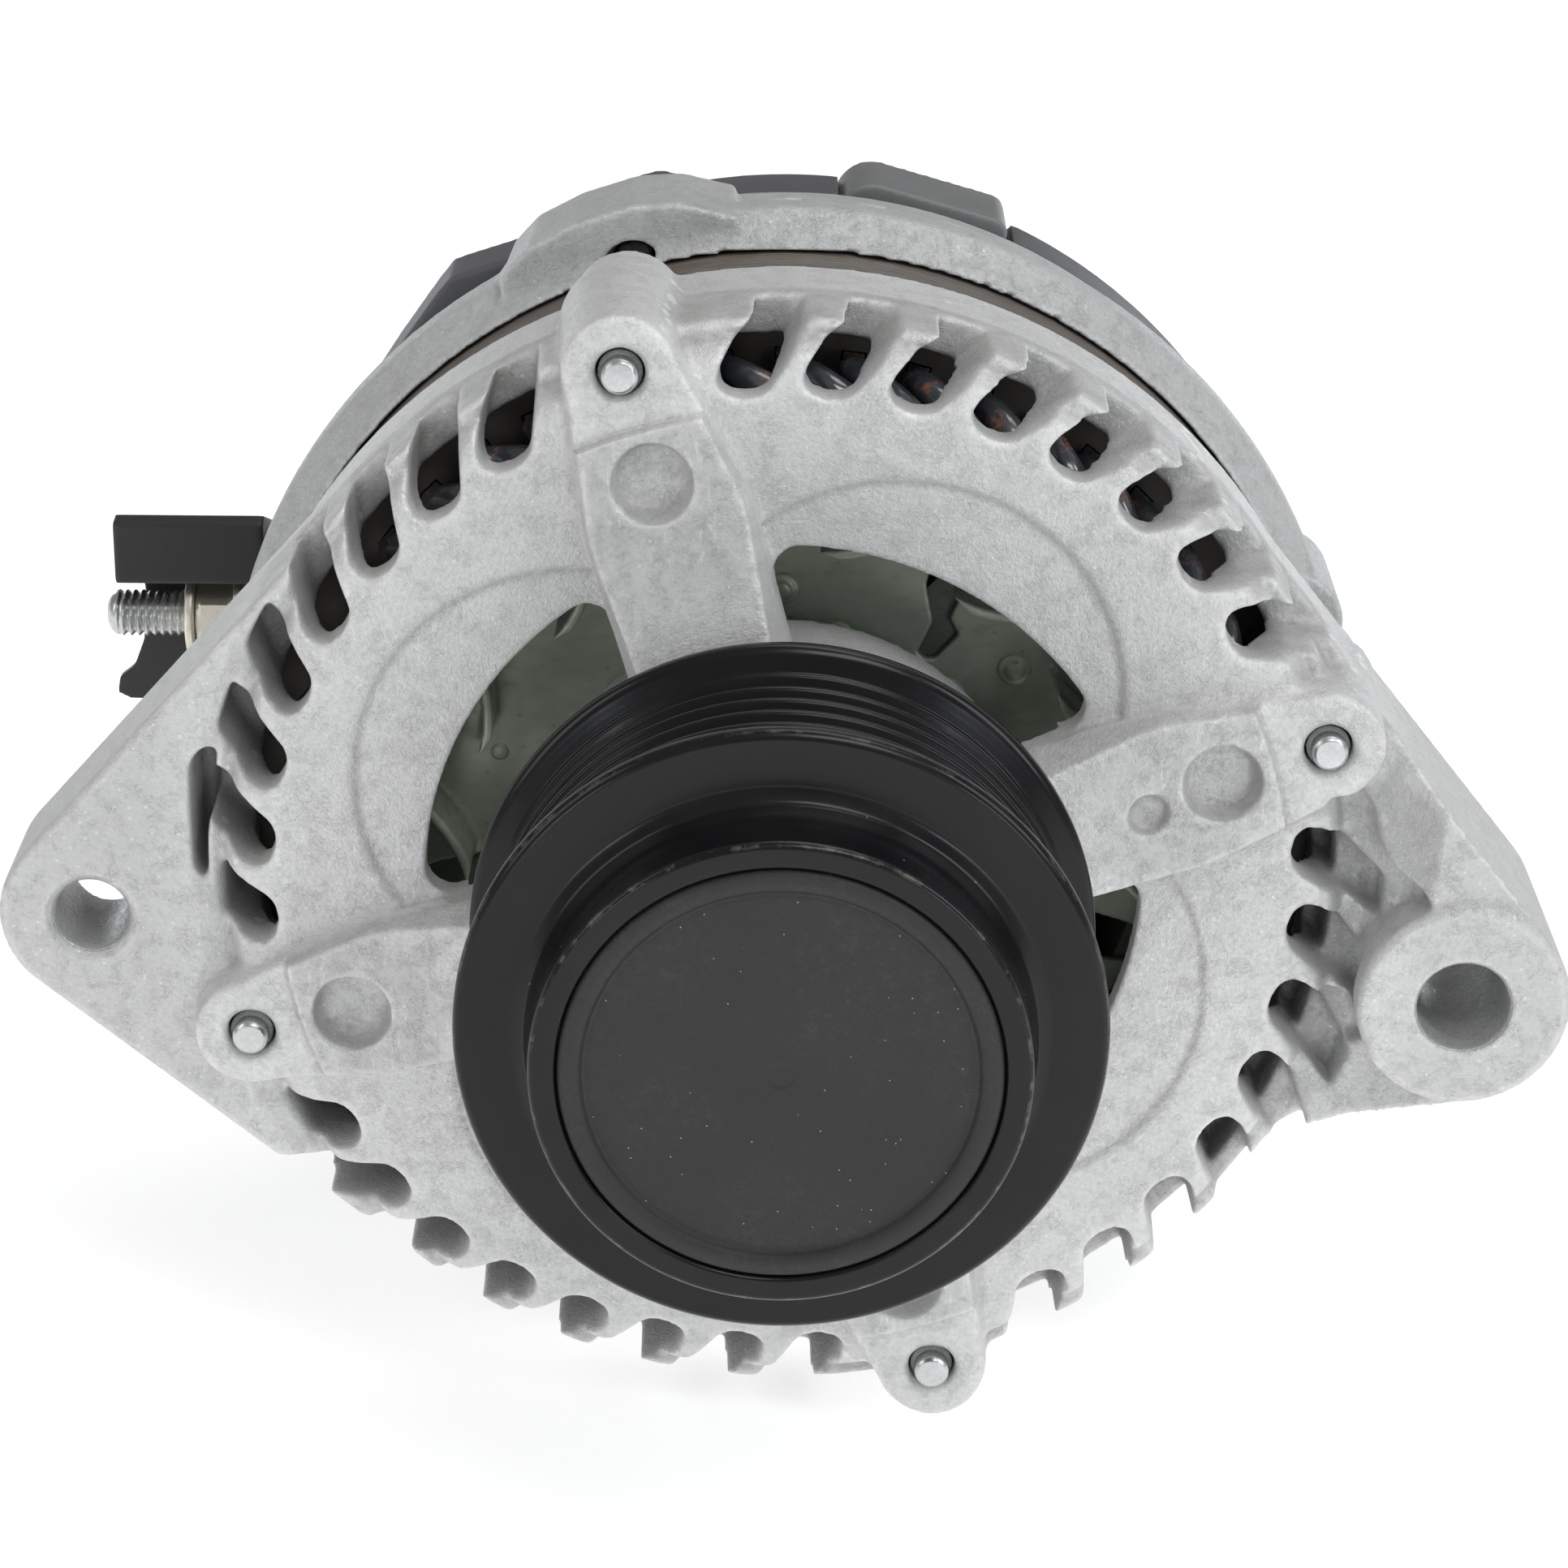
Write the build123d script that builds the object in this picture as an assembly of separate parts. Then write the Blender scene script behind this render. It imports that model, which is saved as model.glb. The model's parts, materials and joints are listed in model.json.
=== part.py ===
from build123d import *
import os
from math import asin, atan2, cos, degrees, hypot, radians, sin

# Car alternator in millimetres. The shaft lies along Y with the pulley towards -Y, Z is up and the
# origin is on the shaft axis at the belt's centre plane. Angles run from +X towards +Z.

# ---- driving dimensions -------------------------------------------------------------------------
BELT_WIDTH = 27.7               # pulley, rim to rim
GROOVE_PITCH = 3.56             # PK belt section
GROOVES = 6
RIM_R = 34.6
CREST_R = 31.7
GROOVE_DEPTH = 2.7
NOSE_R = 26.2
NOSE_Y = -23.3
CAP_R = 23.0

ARM_ANGLE = 16.5                # first of four arms, 90 degrees apart
BOLT_R = 63.5                   # through-bolt circle
BOLT_SHANK_R = 2.5
BOLT_HOLE_R = 2.8

HUB_R = 27.5
HUB_Y = 16.8
FACE_Y = 26.5                   # front of the slotted face
FACE_BACK_Y = 30.8
FACE_R = 60.5
SKIRT_R = 65.8
SKIRT_BACK_Y = 52.5
OPENING_R = 40.7
ARM_FLARE = 0.6                 # how far the arms widen where they meet the slotted face
ARM_DRAFT = 18.0

SLOTS_PER_QUARTER = 8
SLOT_PITCH = 9.05
SLOT_STARTS = (31.1, 121.1, 211.1, 301.1)
SLOT_INNER_R = 57.6
SLOT_DRAFT = 2.5                # degrees
SLOT_FLOOR_Y = 40.0

CORE_Y = (46.0, 74.0)           # stator laminations, and the rotor's poles
CORE_R = 64.0
CORE_BORE_R = 46.7
ROTOR_R = 46.3
STATOR_SLOTS = 48
WIRE_R = 1.15                   # one bar of the hairpin winding
WINDING_LAYERS = (50.3, 55.5)   # radii of the two bars in each slot

RING_Y = 66.0                   # front face of the rear housing
RING_R = 68.3
REAR_PLATE_Y = (85.5, 89.5)
COVER_Y = (90.0, 112.0)
COVER_R = 64.8
COVER_WALL = 2.0

PIVOT = (77.2, -11.4)           # right lug, x and z of its bore
PIVOT_R = 12.2
PIVOT_BORE_R = 5.25
PIVOT_Y = (20.0, 50.0)
PIVOT_WEB_Y = 21.2              # front of the web round the boss
POCKET_FLOOR_Y = 32.0           # of the hollow beside the boss
ADJUSTER = (-79.5, -6.0)        # left lug
ADJUSTER_R = 10.6
ADJUSTER_BORE_R = 4.25
ADJUSTER_Y = (30.0, 45.5)

SHAFT_R = 8.5
FRONT_BEARING = (20.0, 34.0, 23.5)      # front and back faces, outer radius
REAR_BEARING = (86.5, 95.5, 16.0)
REAR_JOURNAL_R = 7.5
SLIP_RING_R = 7.4
RUNNING_FIT = 0.05
BRUSH_YS = (100.0, 106.4)       # the two brushes and their slip rings
BRUSH_HALF = (2.2, 2.5)         # half sizes of a brush across X and Y
BRUSH_TOP_Z = 22.0
SPRING_TOP_Z = 29.4

STUD = (94.0, 8.4)              # battery stud, y and z of its axis
STUD_R = 3.0
STUD_GROOVE_X = (-73.0, -75.9)  # relief groove behind the free end
STUD_TIP_X = -86.3
SOCKET_ANGLE = 74.0             # plug socket on the regulator
SOCKET_TOP = 65.4
REGULATOR_SCREW_XS = (-10.8, 11.2)


# ---- shared shapes ------------------------------------------------------------------------------
def polar(r, angle):
    return r * cos(radians(angle)), r * sin(radians(angle))


def prism(sketch, y0, y1, taper=0):
    """Extrude an X-Z sketch along Y, from y0 to y1."""
    placed = Plane.XZ.offset(-y0) * sketch
    return extrude(placed, amount=y0 - y1, taper=taper)


def rod(r, y0, y1, x=0, z=0):
    return prism(Pos(x, z) * Circle(r), y0, y1)


def tube(outer, inner, y0, y1, x=0, z=0):
    return rod(outer, y0, y1, x, z) - rod(inner, y0 - 1, y1 + 1, x, z)


def turned(points):
    """Revolve an outline of (radius, y) points about the shaft."""
    return revolve(make_face(Polyline(*points, close=True)), Axis.Y)


def spin(shape, angle):
    """Turn a shape about the shaft, from +X towards +Z."""
    return Rot(0, -angle, 0) * shape


def around(shape, count, start=0.0):
    return [spin(shape, start + 360.0 * i / count) for i in range(count)]


def slab(corner, opposite):
    """A box between two corners."""
    size = [b - a for a, b in zip(corner, opposite)]
    middle = [(a + b) / 2 for a, b in zip(corner, opposite)]
    return Pos(*middle) * Box(*size)


def polygon(points):
    """A filled X-Z sketch through its corner points."""
    return make_face(Polyline(*points, close=True))


def tangent_strip(big, small):
    """Sketch of two circles and the band between their outer tangents; each is (x, z, r)."""
    dx = small[0] - big[0]
    dz = small[1] - big[1]
    heading = atan2(dz, dx)
    lean = asin((big[2] - small[2]) / hypot(dx, dz))
    corners = []
    for side in (1, -1):
        normal = degrees(heading + side * (radians(90) - lean))
        for x, z, r in ((big, small) if side == 1 else (small, big)):
            px, pz = polar(r, normal)
            corners.append((x + px, z + pz))
    ends = Pos(big[0], big[1]) * Circle(big[2]) + Pos(small[0], small[1]) * Circle(small[2])
    return polygon(corners) + ends


def write(name, shape):
    solids = shape if isinstance(shape, list) else [shape]
    pieces = []
    for item in solids:
        pieces.extend(item.solids())
    body = pieces[0] if len(pieces) == 1 else Compound(children=pieces)
    body.label = name
    export_step(body, "parts/" + name + ".step")
    print(name, len(pieces))


# ---- front housing ------------------------------------------------------------------------------
def arm_angles():
    return [ARM_ANGLE + 90 * i for i in range(4)]


def front_shell():
    """Slotted face, skirt and the rebate that holds the stator."""
    outer = [(36, FACE_Y), (FACE_R, FACE_Y), (62.4, 27.3), (63.5, 29.3), (SKIRT_R, SLOT_FLOOR_Y)]
    rim = [(SKIRT_R - 0.15, SKIRT_BACK_Y), (64.3, SKIRT_BACK_Y), (64.3, CORE_Y[0])]
    inner = [(61.6, CORE_Y[0] - 1), (61.4, 42.5), (61.0, 36.5), (58.5, FACE_BACK_Y), (36, FACE_BACK_Y)]
    return turned(outer + rim + inner)


def front_hub():
    return turned([(20, HUB_Y), (HUB_R - 1, HUB_Y), (HUB_R, HUB_Y + 1), (HUB_R + 1.5, 36), (20, 36)])


def arm_outline():
    """Arm along +X in the X-Z sketch plane, with a round end about the bolt."""
    upper = [(15, 9.4), (47, 9.2), (57, 7.3), (64.5, 5.9)]
    lower = [(64.5, -5.9), (57, -7.6), (47, -9.6), (15, -9.4)]
    return polygon(upper + lower) + Pos(BOLT_R, 0) * Circle(6.0)


def arm_section():
    """Turned form whose front is the arms' stepped and sloping face."""
    front = [(20, 17.0), (30, 18.0), (44.5, 22.2), (57.2, 23.1), (57.2, 24.3), (72, 24.5)]
    back = [(72, 32), (44, 32), (30, 27), (20, 25)]
    return turned(front + back)


def front_arms():
    foot = offset(arm_outline(), ARM_FLARE)
    blank = prism(foot, FACE_Y, 16, taper=ARM_DRAFT) + prism(foot, FACE_Y, 34)
    ear = prism(Pos(BOLT_R, 0) * Circle(7.6), 44, 24.8, taper=3.5)
    ear += rod(6.4, 40, SKIRT_BACK_Y, x=BOLT_R)
    arm = (blank & arm_section()) + ear
    return around(arm, 4, ARM_ANGLE)


def vent_opening():
    """Opening between two arms, for the arm gap centred on +X."""
    sector = Circle(OPENING_R) - Circle(HUB_R + 1.6)
    reach = 60
    half_gap = 9.3
    gap = polygon([(0, 0), (reach, 0), (reach, reach), (0, reach)])
    quarter = Pos(half_gap, half_gap) * gap
    window = Rot(0, 0, -45) * (sector & quarter)
    corners = window.vertices().sort_by(Axis.X)[-2:]
    return fillet(corners, 3.0)


def slot_outline():
    """Leaning slot on +X: rounded inner end, one radial wall, one swirled wall, open outwards."""
    r = SLOT_INNER_R
    ahead = [(r, 0.3), (r + 0.6, 2.2), (r + 2.0, 3.2), (r + 4.0, 2.6), (r + 6.0, 1.1), (r + 12.4, -5.4)]
    behind = [(r + 12.4, -11.4), (r + 5.0, -5.9), (r + 2.9, -4.3), (r + 0.7, -2.6), (r + 0.1, -1.3)]
    return polygon(ahead + behind)


def slot_reach(angle):
    """Radius at which a slot ends: open to the outside, or closed by the lug in its way."""
    for first, last, reach in ((30, 42, 69.0), (147, 180, 66.3), (181, 214, 64.0), (325, 372, 63.4)):
        if first < angle < last:
            return reach
    return 71.0


def slot_shelf(angle):
    """Shallow outer end of a slot that runs out beside the pivot boss."""
    lane = prism(slot_outline(), FACE_Y - 1.5, POCKET_FLOOR_Y + 1.5, taper=SLOT_DRAFT)
    return spin(lane & rod(68.5, FACE_Y - 3, 60), angle)


def slot_cutter(angle):
    lane = prism(slot_outline(), FACE_Y - 1.5, SLOT_FLOOR_Y, taper=SLOT_DRAFT)
    cutter = spin(lane & rod(slot_reach(angle), FACE_Y - 3, SLOT_FLOOR_Y + 1), angle)
    return cutter + slot_shelf(angle) if angle > 325 else cutter


def slot_angles():
    return [start + SLOT_PITCH * i for start in SLOT_STARTS for i in range(SLOTS_PER_QUARTER)]


def adjuster_lug():
    """Flat lug on the left, blended tangentially into the skirt."""
    x, z = ADJUSTER
    upper = tangent_strip((0, 0, SKIRT_R), (x, z, ADJUSTER_R))
    below = polygon([(-120, 0), (0, 0), (0, -120), (-120, -120)])
    trim = Rot(0, 0, 34.6) * Pos(-100, -61.6 - 60) * Rectangle(260, 120)
    plate = upper - (below & trim) - Circle(SKIRT_R - 1.5)
    y0, y1 = ADJUSTER_Y
    return prism(plate, y0 + 0.7, y1) + prism(plate, y0 + 0.7, y0, taper=45)


def adjuster_cuts():
    x, z = ADJUSTER
    y0, y1 = ADJUSTER_Y
    bore = rod(ADJUSTER_BORE_R, y0 - 1, y1 + 1, x, z)
    mouth = prism(Pos(x, z) * Circle(5.3), y0, y0 + 1.05, taper=45)
    window = Pos(-62.3, 6.6) * RectangleRounded(10.2, 17.2, 3.2)
    pocket = prism(window, y0 - 6, y1 - 3.3) - rod(SKIRT_R, y0 - 7, y1 + 2)
    return [bore, mouth, pocket]


def behind_plane(shape, point, facing):
    """Cut away what stands in front of a sloping plane."""
    return split(shape, bisect_by=Plane(origin=point, z_dir=facing), keep=Keep.BOTTOM)


def pivot_web():
    """Sloping web between the skirt and the boss, in an upper and a lower part."""
    x, z = PIVOT
    back = PIVOT_Y[1]
    strip = tangent_strip((0, 0, SKIRT_R - 0.4), (x, z, PIVOT_R)) & (Pos(90, 40) * Rectangle(90, 100))
    upper = prism(strip - Circle(SKIRT_R - 1.5), PIVOT_WEB_Y, back)
    upper = behind_plane(upper, (73, 21.2, 0), (-0.80, -1.0, 0.085))
    upper = behind_plane(upper, (58, 41, 34), (-0.42, -1.0, 0.56))
    edge = [(x, z - PIVOT_R), (73.5, -24.8), (66, -28.0), (56, -34.5), (50, -37), (40, -30)]
    low = polygon([(40, -9.9), (x, -9.9)] + edge) - Circle(SKIRT_R - 1.5)
    lower = behind_plane(prism(low, PIVOT_WEB_Y, back), (75, 21, 0), (-0.609, -1.0, 0))
    return upper + lower


def pivot_lug():
    """Deep lug on the right: web, and a boss that stands proud of it."""
    x, z = PIVOT
    y0, y1 = PIVOT_Y
    boss = rod(PIVOT_R, y0 + 0.8, y1, x, z) + prism(Pos(x, z) * Circle(PIVOT_R), y0 + 0.8, y0, taper=45)
    return pivot_web() + boss


def pivot_pocket():
    """Hollow between the skirt and the boss, left with one cross rib."""
    x, z = PIVOT
    wavy = [(60, 13), (62.5, 12.2), (65, 12.0), (66.6, 10.4)]
    wavy += [(67.3, 7.4), (69, 4), (71.8, 2.2), (73, 0.2)]
    low = [(73, -8), (70, -16.5), (66, -18.6), (58, -21.5), (50, -21)]
    edge = Spline(*wavy)
    floor = Polyline(wavy[-1], *low, wavy[0])
    area = make_face(edge + floor) - Pos(x, z) * Circle(PIVOT_R - 0.1)
    pocket = prism(area, PIVOT_Y[0] - 8, 40)
    floor_plane = Plane(origin=(62, POCKET_FLOOR_Y, 0), z_dir=(-0.6, -1.0, 0))
    pocket = split(pocket, bisect_by=floor_plane, keep=Keep.TOP)
    rib = slab((50, 29.0, -13.2), (70, 45, -8.6))
    return pocket - skirt_form() - rib


def skirt_form():
    """Solid form inside the skirt's sloping outside."""
    front = [(0, 5), (61.6, 5), (62.4, 27.3), (63.5, 29.3), (SKIRT_R, SLOT_FLOOR_Y)]
    return turned(front + [(SKIRT_R, 60), (0, 60)])


def pivot_cuts():
    x, z = PIVOT
    y0, y1 = PIVOT_Y
    bore = rod(PIVOT_BORE_R, y0 - 1, y1 + 1, x, z)
    mouth = prism(Pos(x, z) * Circle(PIVOT_BORE_R + 0.5), y0, y0 + 0.5, taper=45)
    return [bore, mouth, pivot_pocket()]


def bearing_seat():
    y0, y1, r = FRONT_BEARING
    return turned([(0, 10), (20, 10), (20, y0), (r, y0), (r, 36.5), (0, 36.5)])


def casting_marks():
    """Round blind dimples in the arms."""
    bowl = prism(Pos(51.2, 0) * Circle(4.75), 22.0, 26.0, taper=12)
    marks = [spin(bowl, a) for a in arm_angles()]
    marks.append(prism(Pos(40.9, 11.2) * Circle(2.7), 20.5, 22.9, taper=14))
    return marks


def crescent_steps():
    """Shallow eccentric recess around each vent opening."""
    moon = rod(25.6, FACE_Y - 1, FACE_Y + 0.55, x=26.3)
    moon -= spin(prism(arm_outline(), 10, 40), 45)
    moon -= spin(prism(arm_outline(), 10, 40), -45)
    return around(moon, 4, ARM_ANGLE + 45)


def front_housing():
    body = front_shell() + front_hub() + front_arms()
    body = body + adjuster_lug()
    body = body + pivot_lug()
    rebate = [(61.4, 42.5), (61.6, 45), (64.3, 46), (64.3, 60), (0, 60)]
    inside = turned([(0, FACE_BACK_Y + 6), (57, FACE_BACK_Y + 6)] + rebate)
    cuts = [inside, bearing_seat()] + crescent_steps()
    cuts += [spin(prism(vent_opening(), 10, 40), a + 45) for a in arm_angles()]
    cuts += [slot_cutter(a) for a in slot_angles()]
    cuts += [spin(rod(BOLT_HOLE_R, 10, 60, x=BOLT_R), a) for a in arm_angles()]
    mouth = prism(Pos(BOLT_R, 0) * Circle(3.3), 24.3, 24.8, taper=45)
    cuts += [spin(mouth, a) for a in arm_angles()]
    cuts += casting_marks() + adjuster_cuts() + pivot_cuts()
    for angle in (45, 135, 225, 315):
        cuts.append(spin(rod(1.6, 30, 37, x=25.6), angle))
    return body - cuts


# ---- rear housing -------------------------------------------------------------------------------
def rear_shell():
    bevel = [(64.3, RING_Y - 2.2), (RING_R - 0.3, RING_Y + 2.2), (RING_R, RING_Y + 3)]
    back = REAR_PLATE_Y[1]
    wall = [(RING_R, 72.6), (66.2, 73.4), (65.2, back - 1), (64.2, back), (17, back)]
    inner = [(17, REAR_PLATE_Y[0]), (61.5, REAR_PLATE_Y[0]), (61.5, CORE_Y[1]), (64.3, CORE_Y[1])]
    return turned(bevel + wall + inner)


def rear_ears():
    """Bosses about the through-bolts: a broad flat-topped one above, small round ones elsewhere."""
    right = [(60, -14), (66.6, -13.6), (70.1, -7.4), (71.3, -2)]
    left = [(71.1, 5.0), (69.9, 11.1), (67.2, 15.5), (60, 16)]
    broad = polygon(right + left)
    ears = [prism(Pos(BOLT_R, 0) * Circle(6.4), RING_Y, REAR_PLATE_Y[0] - 1) for _ in range(3)]
    ears.append(prism(broad, RING_Y, REAR_PLATE_Y[0] - 1, taper=2.5))
    bore = rod(CORE_R + 0.3, RING_Y - 1, CORE_Y[1]) + rod(61.5, 60, 90)
    return [spin(ear, ARM_ANGLE + a) - bore for ear, a in zip(ears, (0, 180, 270, 90))]


def rear_hub():
    y0, y1, r = REAR_BEARING
    ribs = [spin(slab((20, 84.5, -1.5), (47, 86.5, 1.5)), 45 + 90 * i) for i in range(4)]
    return [rod(20.5, 84.0, y1 + 1)] + ribs


def rear_vents():
    """Air inlets round the hub and outlets round the wall."""
    inlet = prism(Circle(46) - Circle(24), 80, 95)
    wedge = prism(polygon([(0, 0), polar(70, -21), polar(70, 21)]), 80, 95)
    inlets = around(inlet & wedge, 6, 30)
    outlets = []
    for start in SLOT_STARTS:
        for i in range(SLOTS_PER_QUARTER - 1):
            window = slab((58, 75.5, -1.9), (70, 84.0, 1.9))
            outlets.append(spin(window, start + SLOT_PITCH * (i + 0.5)))
    return inlets + outlets


def cover_stud_places():
    return [polar(56.5, a) for a in (106.5, 226.5, 346.5)]


def rear_housing():
    y0, y1, r = REAR_BEARING
    body = rear_shell() + rear_ears() + rear_hub()
    posts = [rod(4.2, REAR_PLATE_Y[1] - 2, 97, x, z) for x, z in cover_stud_places()]
    body = body + posts
    cuts = rear_vents()
    cuts.append(turned([(0, 80), (9.5, 80), (9.5, y0), (r + 1.0, y0), (r + 1.0, 99), (0, 99)]))
    cuts += [spin(rod(BOLT_HOLE_R, 60, 95, x=BOLT_R), a) for a in arm_angles()]
    cuts += [spin(rod(3.8, RING_Y - 1, 71, x=BOLT_R), a) for a in arm_angles()]
    cuts += [spin(rod(5.4, REAR_PLATE_Y[0] - 1, 95, x=BOLT_R), a) for a in arm_angles()]
    cuts += [rod(2.0, 88, 98, x, z) for x, z in cover_stud_places()]
    return body - cuts


# ---- stator -------------------------------------------------------------------------------------
def stator_core():
    y0, y1 = CORE_Y
    ring = tube(CORE_R, CORE_BORE_R, y0, y1)
    slot = slab((45, y0 - 1, -1.45), (58.0, y1 + 1, 1.45))
    notch = rod(3.1, y0 - 1, y1 + 1, x=BOLT_R)
    return ring - around(slot, STATOR_SLOTS) - around(notch, 4, ARM_ANGLE)


def stator_conductors():
    y0, y1 = CORE_Y
    bars = [slab((r - 2.3, y0, -1.2), (r + 2.3, y1, 1.2)) for r in WINDING_LAYERS]
    return [spin(bar, 360 / STATOR_SLOTS * i) for bar in bars for i in range(STATOR_SLOTS)]


def end_turn(y_foot, rise):
    """One hairpin: a loop that leans round the core from its inner foot to its outer foot."""
    step = 2 * 360 / STATOR_SLOTS
    inner, outer = WINDING_LAYERS
    points = []
    for turn, h in ((0, 0), (0, 0.3), (0.5, 1), (1, 0.3), (1, 0)):
        x, z = polar(inner + (outer - inner) * turn, turn * step)
        points.append((x, y_foot + rise * h, z))
    path = FilletPolyline(*points, radius=abs(rise) * 0.13)
    start = Plane(origin=path @ 0, z_dir=path % 0)
    return sweep(start * Circle(WIRE_R), path=path)


def stator_winding(y_foot, rise):
    return around(end_turn(y_foot, rise), STATOR_SLOTS)


def through_bolts():
    """Tip towards the pulley, head behind the rear housing's ears."""
    tip_y = 23.2
    head_y = REAR_PLATE_Y[0] - 1
    dog_point = [(0, tip_y), (1.6, tip_y), (2.0, tip_y + 0.4), (2.0, tip_y + 2.2)]
    tip = dog_point + [(BOLT_SHANK_R, tip_y + 2.7)]
    flange = [(BOLT_SHANK_R, head_y), (4.6, head_y), (4.6, head_y + 0.9), (4.0, head_y + 0.9)]
    bolt = turned(tip + flange + [(4.0, head_y + 4.4), (0, head_y + 4.4)])
    return [Pos(x, 0, z) * bolt for x, z in (polar(BOLT_R, a) for a in arm_angles())]


# ---- bearings -----------------------------------------------------------------------------------
def race_groove(pitch_r, y, groove_r):
    return Pos(0, y, 0) * Rot(90, 0, 0) * Torus(pitch_r, groove_r)


def races(y0, y1, outer_r, land_out, land_in, bore_r, pitch_r, ball_r):
    groove = race_groove(pitch_r, (y0 + y1) / 2, ball_r + RUNNING_FIT)
    outer = tube(outer_r, land_out, y0, y1) - groove
    inner = tube(land_in, bore_r, y0, y1) - groove
    return outer, inner


def balls_and_cage(y0, y1, pitch_r, ball_r, count):
    middle = (y0 + y1) / 2
    ball = Pos(pitch_r, middle, 0) * Sphere(ball_r)
    pocket = Pos(pitch_r, middle, 0) * Rot(0, 90, 0) * Cylinder(ball_r + 0.08, 6)
    half = ball_r * 1.14
    cage = tube(pitch_r + 1.1, pitch_r - 1.1, middle - half, middle + half) - around(pocket, count)
    return around(ball, count), cage


def front_bearing_parts():
    y0, y1, r = FRONT_BEARING
    outer, inner = races(y0, y1, r, 20.2, 11.9, SHAFT_R, 16.05, 4.36)
    balls, cage = balls_and_cage(y0, y1, 16.05, 4.36, 8)
    outer -= tube(21.2, 19, y0 - 1, y0 + 1.1) + tube(21.2, 19, y1 - 1.1, y1 + 1)
    seals = [tube(21.2, 12.05, y0 + 0.3, y0 + 1.1), tube(21.2, 12.05, y1 - 1.1, y1 - 0.3)]
    write("front_bearing_outer_race", outer)
    write("front_bearing_inner_race", inner)
    write("front_bearing_balls", balls)
    write("front_bearing_cage", cage)
    write("front_bearing_seals", seals)


def rear_bearing_parts():
    y0, y1, r = REAR_BEARING
    outer, inner = races(y0, y1, r, 13.7, 9.8, REAR_JOURNAL_R, 11.75, 2.38)
    balls, cage = balls_and_cage(y0, y1, 11.75, 2.38, 9)
    write("rear_bearing_outer_race", outer)
    write("rear_bearing_inner_race", inner)
    write("rear_bearing_balls", balls)
    write("rear_bearing_cage", cage)
    write("rear_bearing_sleeve", tube(r + 1.0, r, y0, y1))


def bearing_retainer():
    plate = tube(28.2, 19.5, 36.0, 38.0)
    holes = [spin(rod(1.7, 35, 39, x=25.6), a) for a in (45, 135, 225, 315)]
    return plate - holes


def retainer_screws():
    outline = [(0, 31), (1.5, 31), (1.5, 38), (3.0, 38), (2.8, 39.4), (0, 40.0)]
    screw = turned(outline) - slab((-0.5, 39.2, -3), (0.5, 41, 3))
    return [Pos(x, 0, z) * screw for x, z in (polar(25.6, a) for a in (45, 135, 225, 315))]


# ---- rotor --------------------------------------------------------------------------------------
def rotor_shaft():
    seat_r = SHAFT_R - 0.02
    journal_r = REAR_JOURNAL_R - 0.02
    shoulder_y = FRONT_BEARING[1]
    front = [(0, -8), (7.6, -8), (seat_r, -7), (seat_r, shoulder_y), (11, shoulder_y)]
    middle = [(11, 40), (9.5, 40), (9.5, 80), (9.0, 80), (9.0, REAR_BEARING[0])]
    end = REAR_BEARING[1]
    tail = [(journal_r, REAR_BEARING[0]), (journal_r, end), (4.5, end), (4.5, 109), (4, 109.4)]
    socket = prism(RegularPolygon(5.0, 6), -9, 4)
    return turned(front + middle + tail + [(0, 109.4)]) - socket


def finger(y_root, y_tip):
    """One claw on +Z: a tapering tongue of the rotor's cylinder."""
    wide = 10.2
    narrow = 5.0
    corners = [(-wide, y_root), (wide, y_root), (narrow, y_tip), (-narrow, y_tip)]
    shape = make_face(Polyline(*corners, close=True))
    tongue = extrude(shape, amount=60)
    low, high = sorted((y_root, y_tip))
    thick = [(ROTOR_R, low), (ROTOR_R, high)]
    if y_tip > y_root:
        form = turned(thick + [(ROTOR_R - 3.5, high), (36.8, low)])
    else:
        form = turned(thick + [(36.8, high), (ROTOR_R - 3.5, low)])
    return tongue & form


def claw_pole(y_face, y_core, y_tip):
    """Half of the rotor's iron: hub, disc with eight lobes and eight claws."""
    sign = 1 if y_tip > y_face else -1
    y_disc = y_face + sign * 8.0
    disc = rod(33, min(y_face, y_disc), max(y_face, y_disc))
    hub = rod(15.5, min(y_face, y_core), max(y_face, y_core))
    root = slab((-9.2, min(y_face, y_disc), 28), (9.2, max(y_face, y_disc), 39))
    root += slab((-8.8, min(y_face, y_disc), 36), (8.8, max(y_face, y_disc), ROTOR_R - 1))
    lobe = root & rod(ROTOR_R, 30, 90)
    claws = around(lobe, 8) + around(finger(y_face, y_tip), 8)
    return disc + hub + claws - rod(9.5, 30, 90)


def coil_bobbin():
    front = [(15.6, 54.1), (35.6, 54.1), (35.6, 55.3), (16.8, 55.3)]
    return turned(front + [(16.8, 64.7), (35.6, 64.7), (35.6, 65.9), (15.6, 65.9)])


def field_coil():
    """Wound copper: rounded ridges, one for each visible turn."""
    turns = 8
    pitch = 9.2 / turns
    points = [(17.0, 55.4)]
    for i in range(turns):
        y = 55.4 + pitch * i
        points += [(34.0, y), (34.6, y + pitch * 0.3), (34.6, y + pitch * 0.7)]
    points += [(34.0, 55.4 + 9.2), (17.0, 55.4 + 9.2)]
    return turned(points)


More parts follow.
